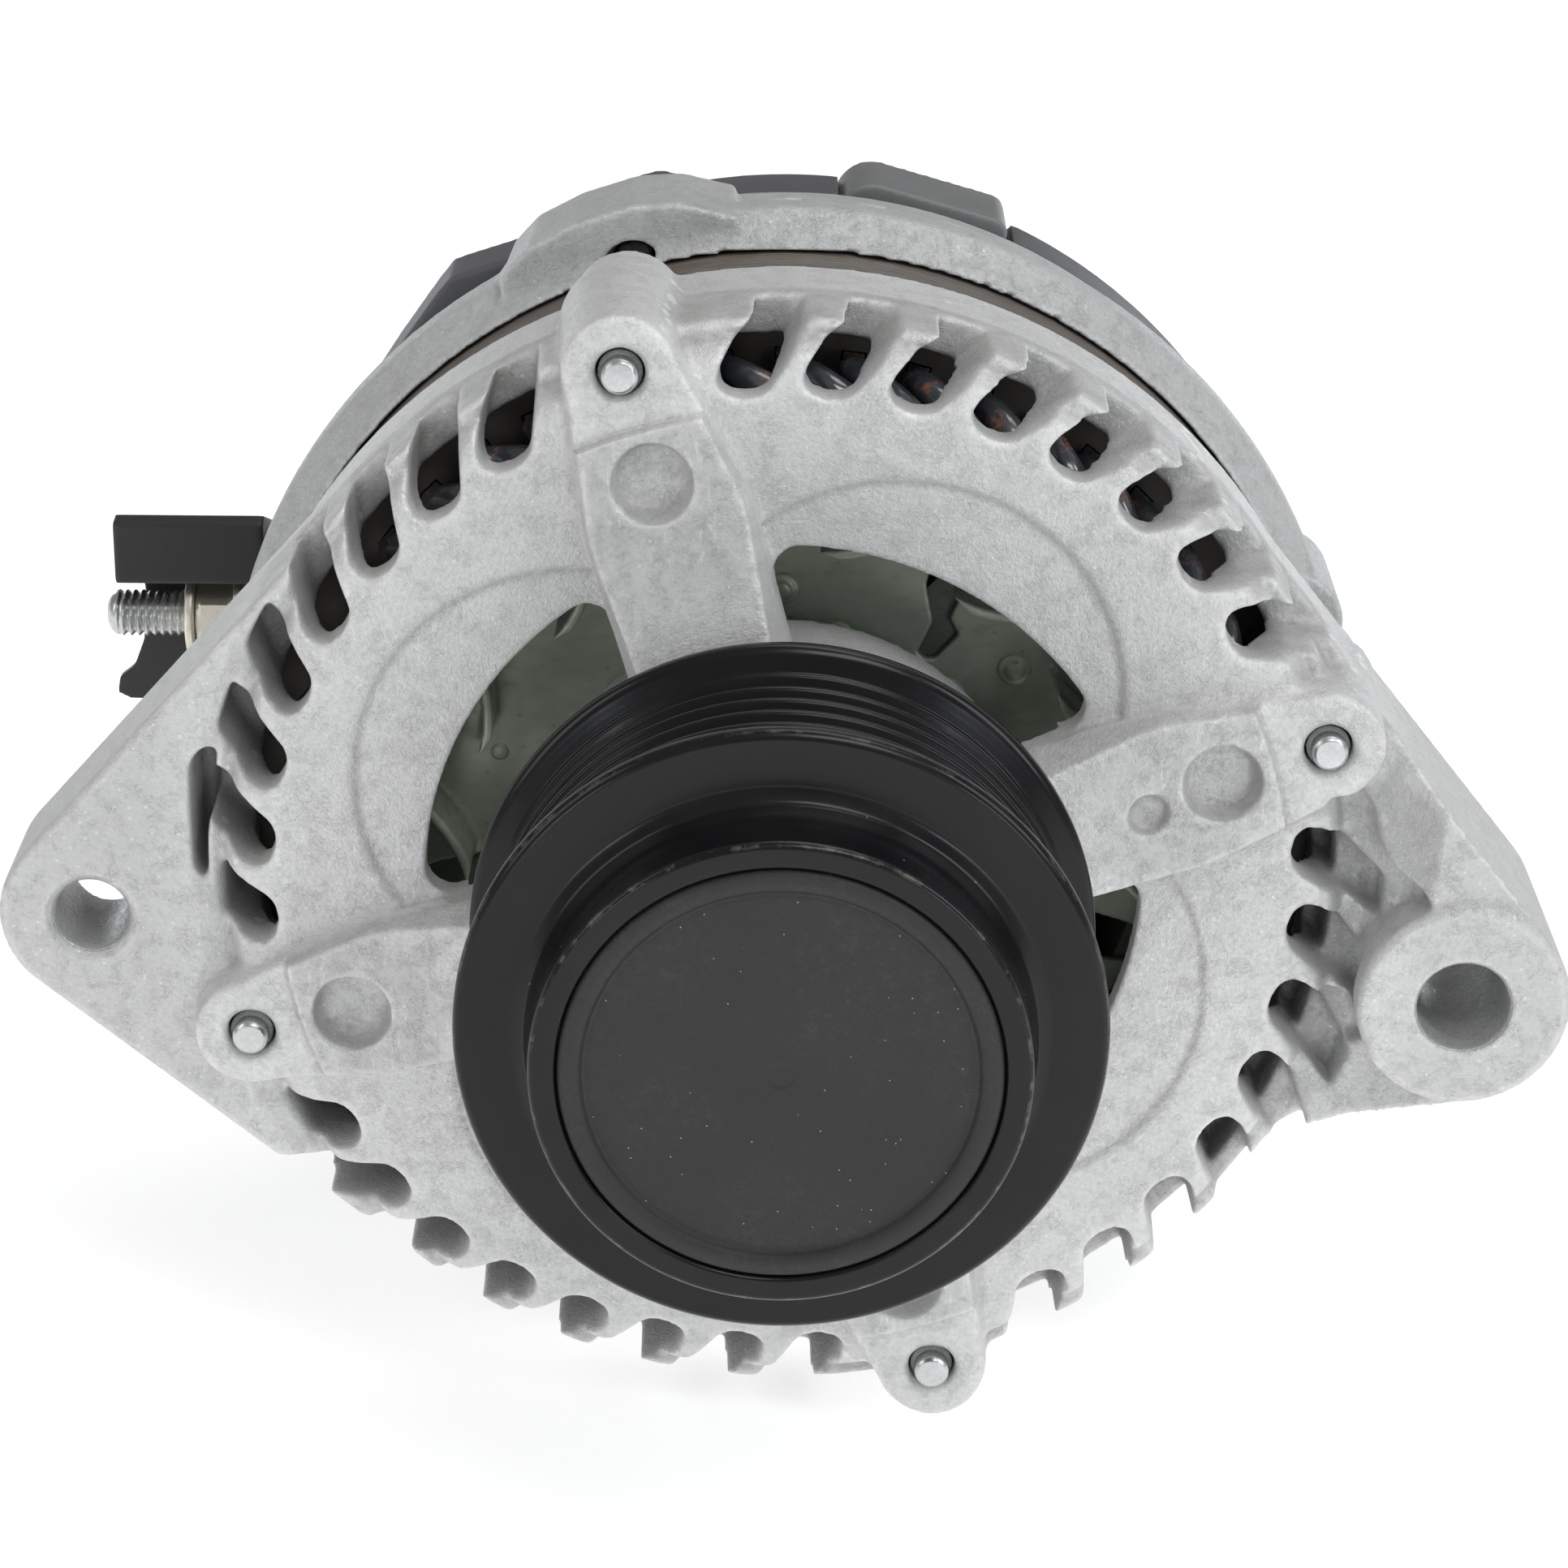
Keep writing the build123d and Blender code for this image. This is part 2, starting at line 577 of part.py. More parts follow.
def fan(y_plate, y_tip, count, lean, first, gap_angles):
    """Sheet-metal fan: a disc with waisted gaps and blades bent up near its edge."""
    low, high = sorted((y_plate, y_plate + (1.2 if y_plate < y_tip else -1.2)))
    plate = tube(44.5, 12.0, low, high)
    one_side = [(26.8, -0.5), (30.8, 0.2), (34.0, 3.4), (38, 5.0), (50, 6.5)]
    neck = [(34.8, -0.7), (32.2, -1.2), (31.1, -3.2), (27.3, -2.7), (26.6, -1.6)]
    gap = prism(polygon(one_side + [(50, 2.5), (41, 0)] + neck), 20, 90)
    plate = plate - [spin(gap, a) for a in gap_angles]
    curve = Pos(52, lean * 16) * (Circle(18.6) - Circle(17.4))
    sweep_zone = polygon([(35.5, -20), (46, -20), (46, 20), (35.5, 20)])
    front, back = sorted((y_plate, y_tip))
    blade = prism(curve & sweep_zone & Circle(45.5), front, back)
    blades = []
    for solid in blade.solids():
        if abs(solid.center().Z) < 8:
            blades = around(solid, count, first)
    return plate + blades


def slip_ring_parts():
    body = tube(6.4, 4.5, 95.6, 109.0) + tube(SLIP_RING_R - 0.3, 6.4, 102.5, 103.9)
    write("slip_ring_insulator", body)
    write("slip_rings", [tube(SLIP_RING_R, 6.4, y - 2.2, y + 2.2) for y in BRUSH_YS])


def shaft_spacer():
    return tube(11.6, SHAFT_R, 16.2, FRONT_BEARING[0])


# ---- pulley -------------------------------------------------------------------------------------
def groove_outline():
    """(radius, y) points of the grooved belt track, front to back."""
    half_floor = 0.35
    half_mouth = half_floor + GROOVE_DEPTH * 0.364
    points = []
    for i in range(GROOVES):
        y = (i - (GROOVES - 1) / 2) * GROOVE_PITCH
        root = CREST_R - GROOVE_DEPTH
        points += [(CREST_R, y - half_mouth), (root, y - half_floor)]
        points += [(root, y + half_floor), (CREST_R, y + half_mouth)]
    return points


def pulley_sheave():
    edge = BELT_WIDTH / 2
    nose = [(23.3, NOSE_Y + 0.3), (23.6, NOSE_Y), (NOSE_R - 0.4, NOSE_Y), (NOSE_R, NOSE_Y + 0.4)]
    foot = [(NOSE_R, -edge - 1.6), (27.8, -edge)]
    rim = [(RIM_R - 0.5, 11.5), (RIM_R, 11.9), (RIM_R, edge - 0.5), (RIM_R - 0.5, edge)]
    back = [(CREST_R, 10.55)] + rim
    front = [(r, -y) for r, y in reversed(back)]
    bore = [(22.0, edge), (22.0, -17.0), (23.3, -17.0)]
    return turned(nose + foot + front + groove_outline() + back + bore)


def pulley_cap():
    """Snap-in dust cap with a raised rounded rim and a sunk disc."""
    lip = [(21.6, -17.6), (CAP_R, -17.6), (CAP_R, -22.8)]
    crown = [(22.75, -23.3), (22.2, -23.5), (21.2, -23.5), (20.7, -23.3)]
    disc = [(20.3, -22.7), (0, -22.7), (0, -20.9), (21.6, -20.9)]
    return turned(lip + crown + disc)


def pulley_hub():
    outside = [(12.0, -16), (15.6, -16), (17.1, -14.5), (17.1, 13.0), (12.4, 13.0), (11.6, 16.2)]
    body = turned(outside + [(SHAFT_R, 16.2), (SHAFT_R, -8.5), (12.0, -8.5)])
    return body - around(rod(0.9, -17, -8.5, x=12.0), 12)


def clutch_parts():
    y0, y1 = -11.8, 11.8
    write("clutch_outer_race", tube(22.0, 20.2, y0, y1))
    rows = ((-11.0, -6.2, 1.5), (-4.6, 4.6, 1.5), (6.2, 11.0, 1.5))
    rollers = []
    cage = tube(19.2, 18.1, y0 + 0.2, y1 - 0.2)
    for front, back, r in rows:
        one = rod(r, front, back, x=18.65)
        rollers += around(one, 20)
        cage = cage - around(rod(r + 0.08, front - 0.1, back + 0.1, x=18.65), 20)
    write("clutch_rollers", rollers)
    write("clutch_cage", cage)
    write("pulley_rear_seal", tube(21.95, 17.2, 12.0, 13.4))


# ---- rectifier, regulator and brushes -----------------------------------------------------------
def horseshoe(outer, inner, y0, y1, start, stop):
    """Part of a flat ring between two angles."""
    sector = polygon([(0, 0)] + [polar(90, start + (stop - start) * i / 6) for i in range(7)])
    return prism((Circle(outer) - Circle(inner)) & sector, y0, y1)


def diode_angles(first):
    return [first + 33 * i for i in range(6)]


def rectifier_parts():
    stud_room = slab((-75, 85, STUD[1] - 9.5), (-51.2, 99.4, STUD[1] + 9.5))
    holes = [rod(6.4, 85, 115, x, z) for x, z in cover_stud_places()] + [stud_room]
    places = [polar(30.5, a) for a in (172.5, 238.5, 304.5)]
    holes += [rod(2.1, 88, 104, x, z) for x, z in places]
    negative = horseshoe(59.5, 25, 90.6, 92.8, 118, 388) - holes
    positive = horseshoe(55, 25, 99.5, 101.7, 122, 384) - holes
    block = horseshoe(51, 24.5, 94.4, 98.6, 120, 386) - holes
    for angle in diode_angles(140):
        negative -= spin(rod(5.6, 88, 95, x=45), angle)
        positive -= spin(rod(5.6, 98, 103, x=35), angle + 16)
        block -= spin(rod(6.2, 93, 100, x=45), angle)
        block -= spin(rod(6.2, 93, 100, x=35), angle + 16)
    write("rectifier_negative_plate", negative)
    write("rectifier_positive_plate", positive)
    write("rectifier_terminal_block", block)
    low_lead = [(4.4, 95.0), (1.0, 95.4), (0.7, 98.9), (0, 98.9)]
    low = turned([(0, 90.8), (5.6, 90.8), (5.6, 94.4)] + low_lead)
    high_lead = [(0, 95.4), (0.7, 95.4), (1.0, 99.0), (5.6, 99.2)]
    high = turned(high_lead + [(5.6, 102.9), (4.6, 103.4), (0, 103.4)])
    write("negative_diodes", [spin(Pos(45, 0, 0) * low, a) for a in diode_angles(140)])
    write("positive_diodes", [spin(Pos(35, 0, 0) * high, a + 16) for a in diode_angles(140)])
    head = [(3.8, 101.8), (3.8, 103.6), (3.2, 104.2), (0, 104.2)]
    screw = turned([(0, 89.8), (2.0, 89.8), (2.0, 101.8)] + head)
    write("rectifier_screws", [Pos(x, 0, z) * screw for x, z in places])


def at_socket(shape):
    """Place a shape made along +Z at the socket's angle."""
    return spin(shape, SOCKET_ANGLE - 90)


def plug_shell():
    """Outer form of the plug socket: one broad round shoulder, the other corners small."""
    shell = slab((-11.6, 91.0, 55.5), (9.5, 103.6, SOCKET_TOP + 0.5))
    corners = shell.edges().filter_by(Axis.Y).sort_by(Axis.Z)
    shell = fillet(corners[2:].sort_by(Axis.X)[0], 4.6)
    corners = shell.edges().filter_by(Axis.Y).sort_by(Axis.X)
    return at_socket(fillet(corners[-2:], 2.2))


def voltage_regulator():
    """Control unit with a cooling face and the plug socket above it."""
    case = at_socket(slab((-13, 91.0, 33), (13.5, 101.5, 57)))
    mouth = at_socket(slab((-8.6, 94.5, 57.4), (7.7, 108, SOCKET_TOP - 1.2)))
    starts = [-12 + 3.6 * i for i in range(7)]
    fins = [at_socket(slab((x, 101.4, 35), (x + 1.5, 104.0, 47))) for x in starts]
    holes = [at_socket(rod(1.6, 85, 110, x, 52)) for x in REGULATOR_SCREW_XS]
    return case + plug_shell() + fins - mouth - holes - connector_pins()


def connector_pins():
    starts = [-6.6 + 3.9 * i for i in range(4)]
    return [at_socket(slab((x, 92.6, 60.6), (x + 0.9, 102.2, 61.7))) for x in starts]


def regulator_parts():
    write("voltage_regulator", voltage_regulator())
    write("regulator_pins", connector_pins())
    screw = turned([(0, 89.7), (1.5, 89.7), (1.5, 101.6), (2.9, 101.6), (2.9, 103.4), (0, 103.8)])
    write("regulator_screws", [at_socket(Pos(x, 0, 52) * screw) for x in REGULATOR_SCREW_XS])


def brush_holder():
    y0, y1 = 96.9, 109.5
    half_x, half_y = BRUSH_HALF
    body = slab((-7.5, y0, 11.0), (7.5, y1, 31.5))
    x, y = half_x + 0.1, half_y + 0.1
    wells = [slab((-x, middle - y, 10), (x, middle + y, SPRING_TOP_Z)) for middle in BRUSH_YS]
    collar = tube(10.6, 8.2, y0, y1) - slab((-20, 90, 4), (20, 115, 20))
    cheeks = slab((-9.6, y0, 3.5), (-5.8, y1, 12)) + slab((5.8, y0, 3.5), (9.6, y1, 12))
    return body + collar + (cheeks - rod(8.2, 90, 115)) - wells


def brush(y):
    half_x, half_y = BRUSH_HALF
    block = slab((-half_x, y - half_y, SLIP_RING_R - 1), (half_x, y + half_y, BRUSH_TOP_Z))
    return block - rod(SLIP_RING_R + RUNNING_FIT, 90, 115)


def brush_spring(y):
    """Compression spring between the brush and the holder's roof."""
    rise = SPRING_TOP_Z - BRUSH_TOP_Z - 0.7
    coil = Helix(pitch=rise / 5, height=rise, radius=1.55)
    start = Plane(origin=coil @ 0, z_dir=coil % 0)
    wire = sweep(start * Circle(0.27), path=coil)
    return Pos(0, y, BRUSH_TOP_Z + 0.35) * wire


# ---- rear cover and battery terminal ------------------------------------------------------------
def cover_corner():
    """Angular bulge on the cover's wall, above the battery terminal."""
    side = [(-45, 30), (-53.5, 36.4), (-48.2, 44.5), (-43.3, 51.4), (-41.6, 53.5)]
    top = [(-40.2, 54.1), (-35.0, 55.8), (-29.5, 57.6), (-25, 50)]
    bulge = prism(polygon(side + top), COVER_Y[0], 100)
    return bulge - rod(COVER_R - 1, COVER_Y[0] - 1, 101)


def rear_cover():
    y0, y1 = COVER_Y
    outer = [(COVER_R, y0), (COVER_R, 99), (62.8, 105), (58, 110), (54, y1), (0, y1)]
    inner_r = COVER_R - COVER_WALL
    inner = [(0, y1 - COVER_WALL), (53.4, y1 - COVER_WALL), (56.8, 108.4), (61.0, 104)]
    inner += [(inner_r, 98.6), (inner_r, y0)]
    shell = turned(outer + inner) + cover_corner()
    cap = rod(16, y1 - 1, y1 + 2.0)
    sleeves = [rod(5.6, 97.2, y1 - 0.5, x, z) for x, z in cover_stud_places()]
    wells = [rod(7.2, 104.5, y1 + 3, x, z) for x, z in cover_stud_places()]
    seats = [rod(7.9, 102.5, y1 - 0.5, x, z) for x, z in cover_stud_places()]
    body = shell + cap + sleeves + seats
    vents = []
    for i in range(26):
        angle = 118 + i * 10.4
        if min(abs((angle - a + 180) % 360 - 180) for a in (226.5, 346.5, 176, 106.5)) > 9.5:
            vents.append(spin(slab((24, y1 - 4, -1.5), (49, y1 + 4, 1.5)), angle))
    rod_cuts = [rod(2.6, 90, 115, x, z) for x, z in cover_stud_places()]
    socket_gap = at_socket(slab((-12.0, y0 - 1, 54.7), (10.3, y1 + 1, 74)))
    stud_gap = slab((-70, y0 - 1, STUD[1] - 8.5), (-56, 103.6, STUD[1] + 8.5))
    return body - wells - vents - rod_cuts - [socket_gap, stud_gap]


def cover_nuts():
    end = [(2.4, 97.0), (2.4, 110), (2.0, 110.4), (0, 110.4)]
    stud = turned([(0, 89.6), (1.98, 89.6), (1.98, 97.0)] + end)
    nut = prism(RegularPolygon(4.6, 6), 104.5, 108.5) + rod(5.6, 104.5, 105.4)
    piece = stud + nut
    return [Pos(x, 0, z) * piece for x, z in cover_stud_places()]


def along_minus_x(shape):
    """Turn a shape made along +Y to run along -X on the stud's axis."""
    y, z = STUD
    return Pos(0, y, z) * Rot(0, 0, 90) * shape


def battery_stud():
    tip = -STUD_TIP_X
    y, z = STUD
    near, far = (-x for x in STUD_GROOVE_X)
    shank = [(0, 53), (3.4, 53), (3.4, 56.2), (STUD_R, 56.2), (STUD_R, near), (2.4, near)]
    free_end = [(2.4, far), (STUD_R, far), (STUD_R, tip - 1.9)]
    dome = [(STUD_R - 0.35, tip - 0.9), (STUD_R - 1.3, tip - 0.2), (0, tip)]
    strap = slab((-54.6, y - 3.5, z - 4), (-52.4, 99.5, z + 4))
    return along_minus_x(turned(shank + free_end + dome)) + strap


def terminal_nut():
    nut = prism(RegularPolygon(5.3, 6), 69.8, 74.6) - rod(STUD_R, 60, 80)
    washer = tube(5.7, STUD_R, 74.6, 75.9) + tube(6.0, STUD_R, 68.6, 69.8)
    return along_minus_x(nut + washer)


def lengthwise(points, x0, x1):
    """Extrude a (y, z) outline along X."""
    return extrude(Plane.YZ.offset(x0) * polygon(points), amount=x1 - x0)


def terminal_shroud():
    """Black guard: wedge roof, back wall with a hooked foot, and a bush round the stud."""
    wedge = [(88, 14.3), (88, 22.3), (90, 22.8), (102, 18.2), (102, 14.3)]
    inside = [(89.6, 13), (89.6, 20.8), (90.3, 21.1), (98.3, 18.1), (98.3, 13)]
    roof = lengthwise(wedge, -84.2, -65.4) - lengthwise(inside, -82.6, -67.0)
    side = [(-82.8, 16), (-82.0, 9), (-82.6, 3), (-84.0, -0.6), (-86.0, -2.2), (-86.2, -4.2)]
    foot = [(-84.6, -5.0), (-79.5, -5.2), (-66, -5.2), (-66, 16)]
    wall = prism(polygon(side + foot), 98.3, 100.4)
    nut_room = along_minus_x(rod(6.5, 68, 76.4))
    bush = along_minus_x(tube(4.2, STUD_R, 56.4, 68.4))
    link = slab((-67.6, 97.2, 0.4), (-62.8, 103, 16.2))
    return roof + wall - nut_room + bush + link - along_minus_x(rod(STUD_R, 40, 90))


# ---- write every piece --------------------------------------------------------------------------
def main():
    os.makedirs("parts", exist_ok=True)
    write("front_housing", front_housing())
    write("rear_housing", rear_housing())
    write("stator_core", stator_core())
    write("stator_conductors", stator_conductors())
    write("stator_winding_front", stator_winding(CORE_Y[0], -10.5))
    write("stator_winding_rear", stator_winding(CORE_Y[1], 9.5))
    write("through_bolts", through_bolts())
    front_bearing_parts()
    rear_bearing_parts()
    write("bearing_retainer", bearing_retainer())
    write("retainer_screws", retainer_screws())
    write("rotor_shaft", rotor_shaft())
    write("front_claw_pole", claw_pole(CORE_Y[0], 60, CORE_Y[1]))
    write("rear_claw_pole", spin(claw_pole(CORE_Y[1], 60, CORE_Y[0]), 22.5))
    write("coil_bobbin", coil_bobbin())
    write("field_coil", field_coil())
    write("front_fan", fan(CORE_Y[0], 36.5, 14, 1, 17, (56, 187, 262, 336)))
    write("rear_fan", fan(CORE_Y[1], 83.0, 12, -1, 4, (49, 139, 229, 319)))
    slip_ring_parts()
    write("shaft_spacer", shaft_spacer())
    write("pulley_sheave", pulley_sheave())
    write("pulley_cap", pulley_cap())
    write("pulley_hub", pulley_hub())
    clutch_parts()
    rectifier_parts()
    regulator_parts()
    write("brush_holder", brush_holder())
    for name, y in zip(("positive", "negative"), BRUSH_YS):
        write(name + "_brush", brush(y))
        write(name + "_brush_spring", brush_spring(y))
    write("rear_cover", rear_cover())
    write("cover_nuts", cover_nuts())
    write("battery_stud", battery_stud())
    write("terminal_nut", terminal_nut())
    write("terminal_shroud", terminal_shroud())


main()
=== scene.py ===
import json
import math
import random

import bmesh
import bpy
from mathutils import Matrix, Vector


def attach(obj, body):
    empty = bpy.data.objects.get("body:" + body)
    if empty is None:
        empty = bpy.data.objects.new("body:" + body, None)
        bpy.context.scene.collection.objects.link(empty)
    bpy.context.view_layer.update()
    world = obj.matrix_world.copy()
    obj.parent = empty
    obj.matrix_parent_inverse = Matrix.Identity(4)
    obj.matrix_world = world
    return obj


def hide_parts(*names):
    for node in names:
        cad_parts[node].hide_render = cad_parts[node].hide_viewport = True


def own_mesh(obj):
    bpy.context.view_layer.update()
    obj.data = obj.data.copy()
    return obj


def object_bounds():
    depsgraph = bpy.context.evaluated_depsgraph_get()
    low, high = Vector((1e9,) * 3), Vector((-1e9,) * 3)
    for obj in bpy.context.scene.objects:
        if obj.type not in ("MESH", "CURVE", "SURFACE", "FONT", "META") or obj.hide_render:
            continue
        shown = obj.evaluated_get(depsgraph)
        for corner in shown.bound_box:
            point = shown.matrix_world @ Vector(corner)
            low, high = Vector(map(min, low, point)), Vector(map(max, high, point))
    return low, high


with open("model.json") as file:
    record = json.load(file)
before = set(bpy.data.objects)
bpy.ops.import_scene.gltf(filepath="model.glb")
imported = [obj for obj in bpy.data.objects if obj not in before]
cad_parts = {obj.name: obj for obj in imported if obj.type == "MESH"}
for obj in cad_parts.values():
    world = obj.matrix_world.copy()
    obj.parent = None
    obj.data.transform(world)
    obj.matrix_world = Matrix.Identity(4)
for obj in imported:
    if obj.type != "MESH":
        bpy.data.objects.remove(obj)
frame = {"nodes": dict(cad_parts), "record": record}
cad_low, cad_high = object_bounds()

NODES = frame["nodes"]
BODY_OF = {node: body for body, nodes in frame["record"]["behaviour"]["bodies"].items() for node in nodes}
SLOT_OF = {entry["node"]: entry["material_slot"] for entry in frame["record"]["subparts"]}
MM = 0.001
TAU = 2 * math.pi
LIT_POINT = Vector((0, 0.04, 0))


# ---- camera, light and floor --------------------------------------------------------------------
def make_camera():
    data = bpy.data.cameras.new("camera")
    data.lens = 99.74
    data.sensor_width = 36
    data.clip_start = 0.01
    data.clip_end = 20
    camera = bpy.data.objects.new("camera", data)
    bpy.context.scene.collection.objects.link(camera)
    right = Vector((0.99996, 0.00422, 0.00727))
    up = Vector((-0.00832, 0.37230, 0.92808))
    back = Vector((0.00121, -0.92810, 0.37232))
    turn = Matrix((right, up, back)).transposed()
    place = Vector((0.00063, -0.42704, 0.19460))
    camera.matrix_world = Matrix.Translation(place) @ turn.to_4x4()
    bpy.context.scene.camera = camera


def area_light(name, place, size, power, colour=(1, 1, 1)):
    """Rectangular lamp aimed at the middle of the object."""
    data = bpy.data.lights.new(name, "AREA")
    data.shape = "RECTANGLE"
    data.size, data.size_y = size
    data.energy = power
    data.color = colour
    lamp = bpy.data.objects.new(name, data)
    bpy.context.scene.collection.objects.link(lamp)
    lamp.visible_camera = False
    lamp.location = place
    lamp.rotation_mode = "QUATERNION"
    lamp.rotation_quaternion = (LIT_POINT - Vector(place)).to_track_quat("-Z", "Y")


def make_studio():
    world = bpy.data.worlds.new("studio")
    bpy.context.scene.world = world
    world.use_nodes = True
    background = world.node_tree.nodes["Background"]
    background.inputs["Color"].default_value = (1.0, 1.0, 1.0, 1)
    background.inputs["Strength"].default_value = 0.27
    area_light("top_light", (0.18, 0.22, 0.85), (0.6, 0.4), 2.0)
    area_light("left_light", (-0.75, -0.30, 0.45), (0.22, 0.6), 1.2, (1.0, 0.985, 0.96))
    area_light("right_light", (0.75, -0.35, 0.50), (0.18, 0.6), 2.1, (0.96, 0.98, 1.0))
    area_light("front_light", (0.24, -0.52, 0.78), (0.4, 0.3), 2.0)
    area_light("left_strip", (-0.47, -0.88, 0.12), (0.07, 0.30), 0.7, (0.86, 0.93, 1.0))
    area_light("right_strip", (0.47, -0.88, 0.12), (0.07, 0.30), 0.8, (0.86, 0.93, 1.0))
    area_light("back_left", (-0.50, 0.95, 0.16), (0.16, 0.34), 0.7, (0.88, 0.94, 1.0))
    area_light("back_right", (0.50, 0.95, 0.16), (0.16, 0.34), 0.9, (0.88, 0.94, 1.0))
    view = bpy.context.scene.view_settings
    view.view_transform = "Standard"
    view.exposure = 0.0


def make_floor():
    mesh = bpy.data.meshes.new("floor")
    low = cad_low.z - 0.0005
    mesh.from_pydata([(-3, -3, low), (3, -3, low), (3, 3, low), (-3, 3, low)], [], [(0, 1, 2, 3)])
    floor = bpy.data.objects.new("floor", mesh)
    bpy.context.scene.collection.objects.link(floor)
    floor.data.materials.append(LOOKS["floor"])


# ---- node graphs --------------------------------------------------------------------------------
class Graph:
    """A material under construction; positions are in millimetres of the row frame."""

    def __init__(self, name):
        self.material = bpy.data.materials.new(name)
        self.material.use_nodes = True
        self.tree = self.material.node_tree
        self.tree.nodes.clear()
        self.out = self.tree.nodes.new("ShaderNodeOutputMaterial")
        self.shader = self.tree.nodes.new("ShaderNodeBsdfPrincipled")
        self.tree.links.new(self.shader.outputs[0], self.out.inputs["Surface"])
        place = self.node("ShaderNodeTexCoord").outputs["Object"]
        scale = self.node("ShaderNodeVectorMath", operation="SCALE")
        scale.inputs["Scale"].default_value = 1000
        self.tree.links.new(place, scale.inputs[0])
        self.mm = scale.outputs[0]

    def node(self, kind, **settings):
        made = self.tree.nodes.new(kind)
        for key, value in settings.items():
            setattr(made, key, value)
        return made

    def put(self, socket, value):
        if isinstance(value, bpy.types.NodeSocket):
            self.tree.links.new(value, socket)
        elif value is not None:
            socket.default_value = value

    def math(self, operation, a, b=None):
        made = self.node("ShaderNodeMath", operation=operation)
        self.put(made.inputs[0], a)
        self.put(made.inputs[1], b)
        return made.outputs[0]

    def noise(self, per_mm, detail, roughness, stretch=(1, 1, 1), distortion=0.0):
        made = self.node("ShaderNodeTexNoise")
        self.put(made.inputs["Vector"], self.stretched(stretch))
        made.inputs["Scale"].default_value = per_mm
        made.inputs["Detail"].default_value = detail
        made.inputs["Roughness"].default_value = roughness
        made.inputs["Distortion"].default_value = distortion
        return made.outputs["Fac"]

    def stretched(self, stretch):
        if tuple(stretch) == (1, 1, 1):
            return self.mm
        made = self.node("ShaderNodeMapping")
        self.put(made.inputs["Vector"], self.mm)
        made.inputs["Scale"].default_value = stretch
        return made.outputs[0]

    def cells(self, per_mm, output="Distance"):
        made = self.node("ShaderNodeTexVoronoi")
        self.put(made.inputs["Vector"], self.mm)
        made.inputs["Scale"].default_value = per_mm
        return made.outputs[output]

    def ramp(self, factor, *stops):
        made = self.node("ShaderNodeValToRGB")
        self.put(made.inputs[0], factor)
        band = made.color_ramp
        while len(band.elements) < len(stops):
            band.elements.new(0.5)
        for element, (place, colour) in zip(band.elements, stops):
            element.position = place
            level = colour if isinstance(colour, tuple) else (colour,) * 3
            element.color = (*level, 1)
        return made.outputs[0]

    def mix(self, factor, a, b):
        made = self.node("ShaderNodeMix", data_type="RGBA")
        self.put(made.inputs[0], factor)
        self.put(made.inputs[6], (*a, 1) if isinstance(a, tuple) else a)
        self.put(made.inputs[7], (*b, 1) if isinstance(b, tuple) else b)
        return made.outputs[2]

    def span(self, value, low, high, to_low=0.0, to_high=1.0):
        made = self.node("ShaderNodeMapRange", clamp=True)
        for socket, level in zip(made.inputs, (value, low, high, to_low, to_high)):
            self.put(socket, level)
        return made.outputs[0]

    def axes(self):
        made = self.node("ShaderNodeSeparateXYZ")
        self.put(made.inputs[0], self.mm)
        return made.outputs

    def from_axis(self, x=0.0, z=0.0):
        """Distance in millimetres from a line along Y."""
        made = self.node("ShaderNodeCombineXYZ")
        parts = self.axes()
        self.put(made.inputs[0], self.math("SUBTRACT", parts[0], x))
        self.put(made.inputs[2], self.math("SUBTRACT", parts[2], z))
        length = self.node("ShaderNodeVectorMath", operation="LENGTH")
        self.put(length.inputs[0], made.outputs[0])
        return length.outputs["Value"]

    def bump(self, height, strength, distance_mm, normal=None):
        made = self.node("ShaderNodeBump")
        made.inputs["Strength"].default_value = strength
        made.inputs["Distance"].default_value = distance_mm * MM
        self.put(made.inputs["Height"], height)
        if normal is not None:
            self.put(made.inputs["Normal"], normal)
        return made.outputs[0]

    def edges(self, low=0.505, high=0.56):
        """Outer edges of a dense mesh, 0 to 1."""
        return self.span(self.node("ShaderNodeNewGeometry").outputs["Pointiness"], low, high)

    def hollows(self):
        """Inner corners of a dense mesh, 1 in the corner and 0 on the open."""
        return self.span(self.node("ShaderNodeNewGeometry").outputs["Pointiness"], 0.44, 0.495, 1.0, 0.0)

    def finish(self, colour, roughness, normal=None, metallic=0.0, **fixed):
        self.put(self.shader.inputs["Base Color"], (*colour, 1) if isinstance(colour, tuple) else colour)
        self.put(self.shader.inputs["Roughness"], roughness)
        self.put(self.shader.inputs["Metallic"], metallic)
        if normal is not None:
            self.put(self.shader.inputs["Normal"], normal)
        for name, value in fixed.items():
            self.shader.inputs[name.replace("_", " ")].default_value = value
        return self.material


def tinted(level, tint=(1, 1, 1)):
    return tuple(level * t for t in tint)


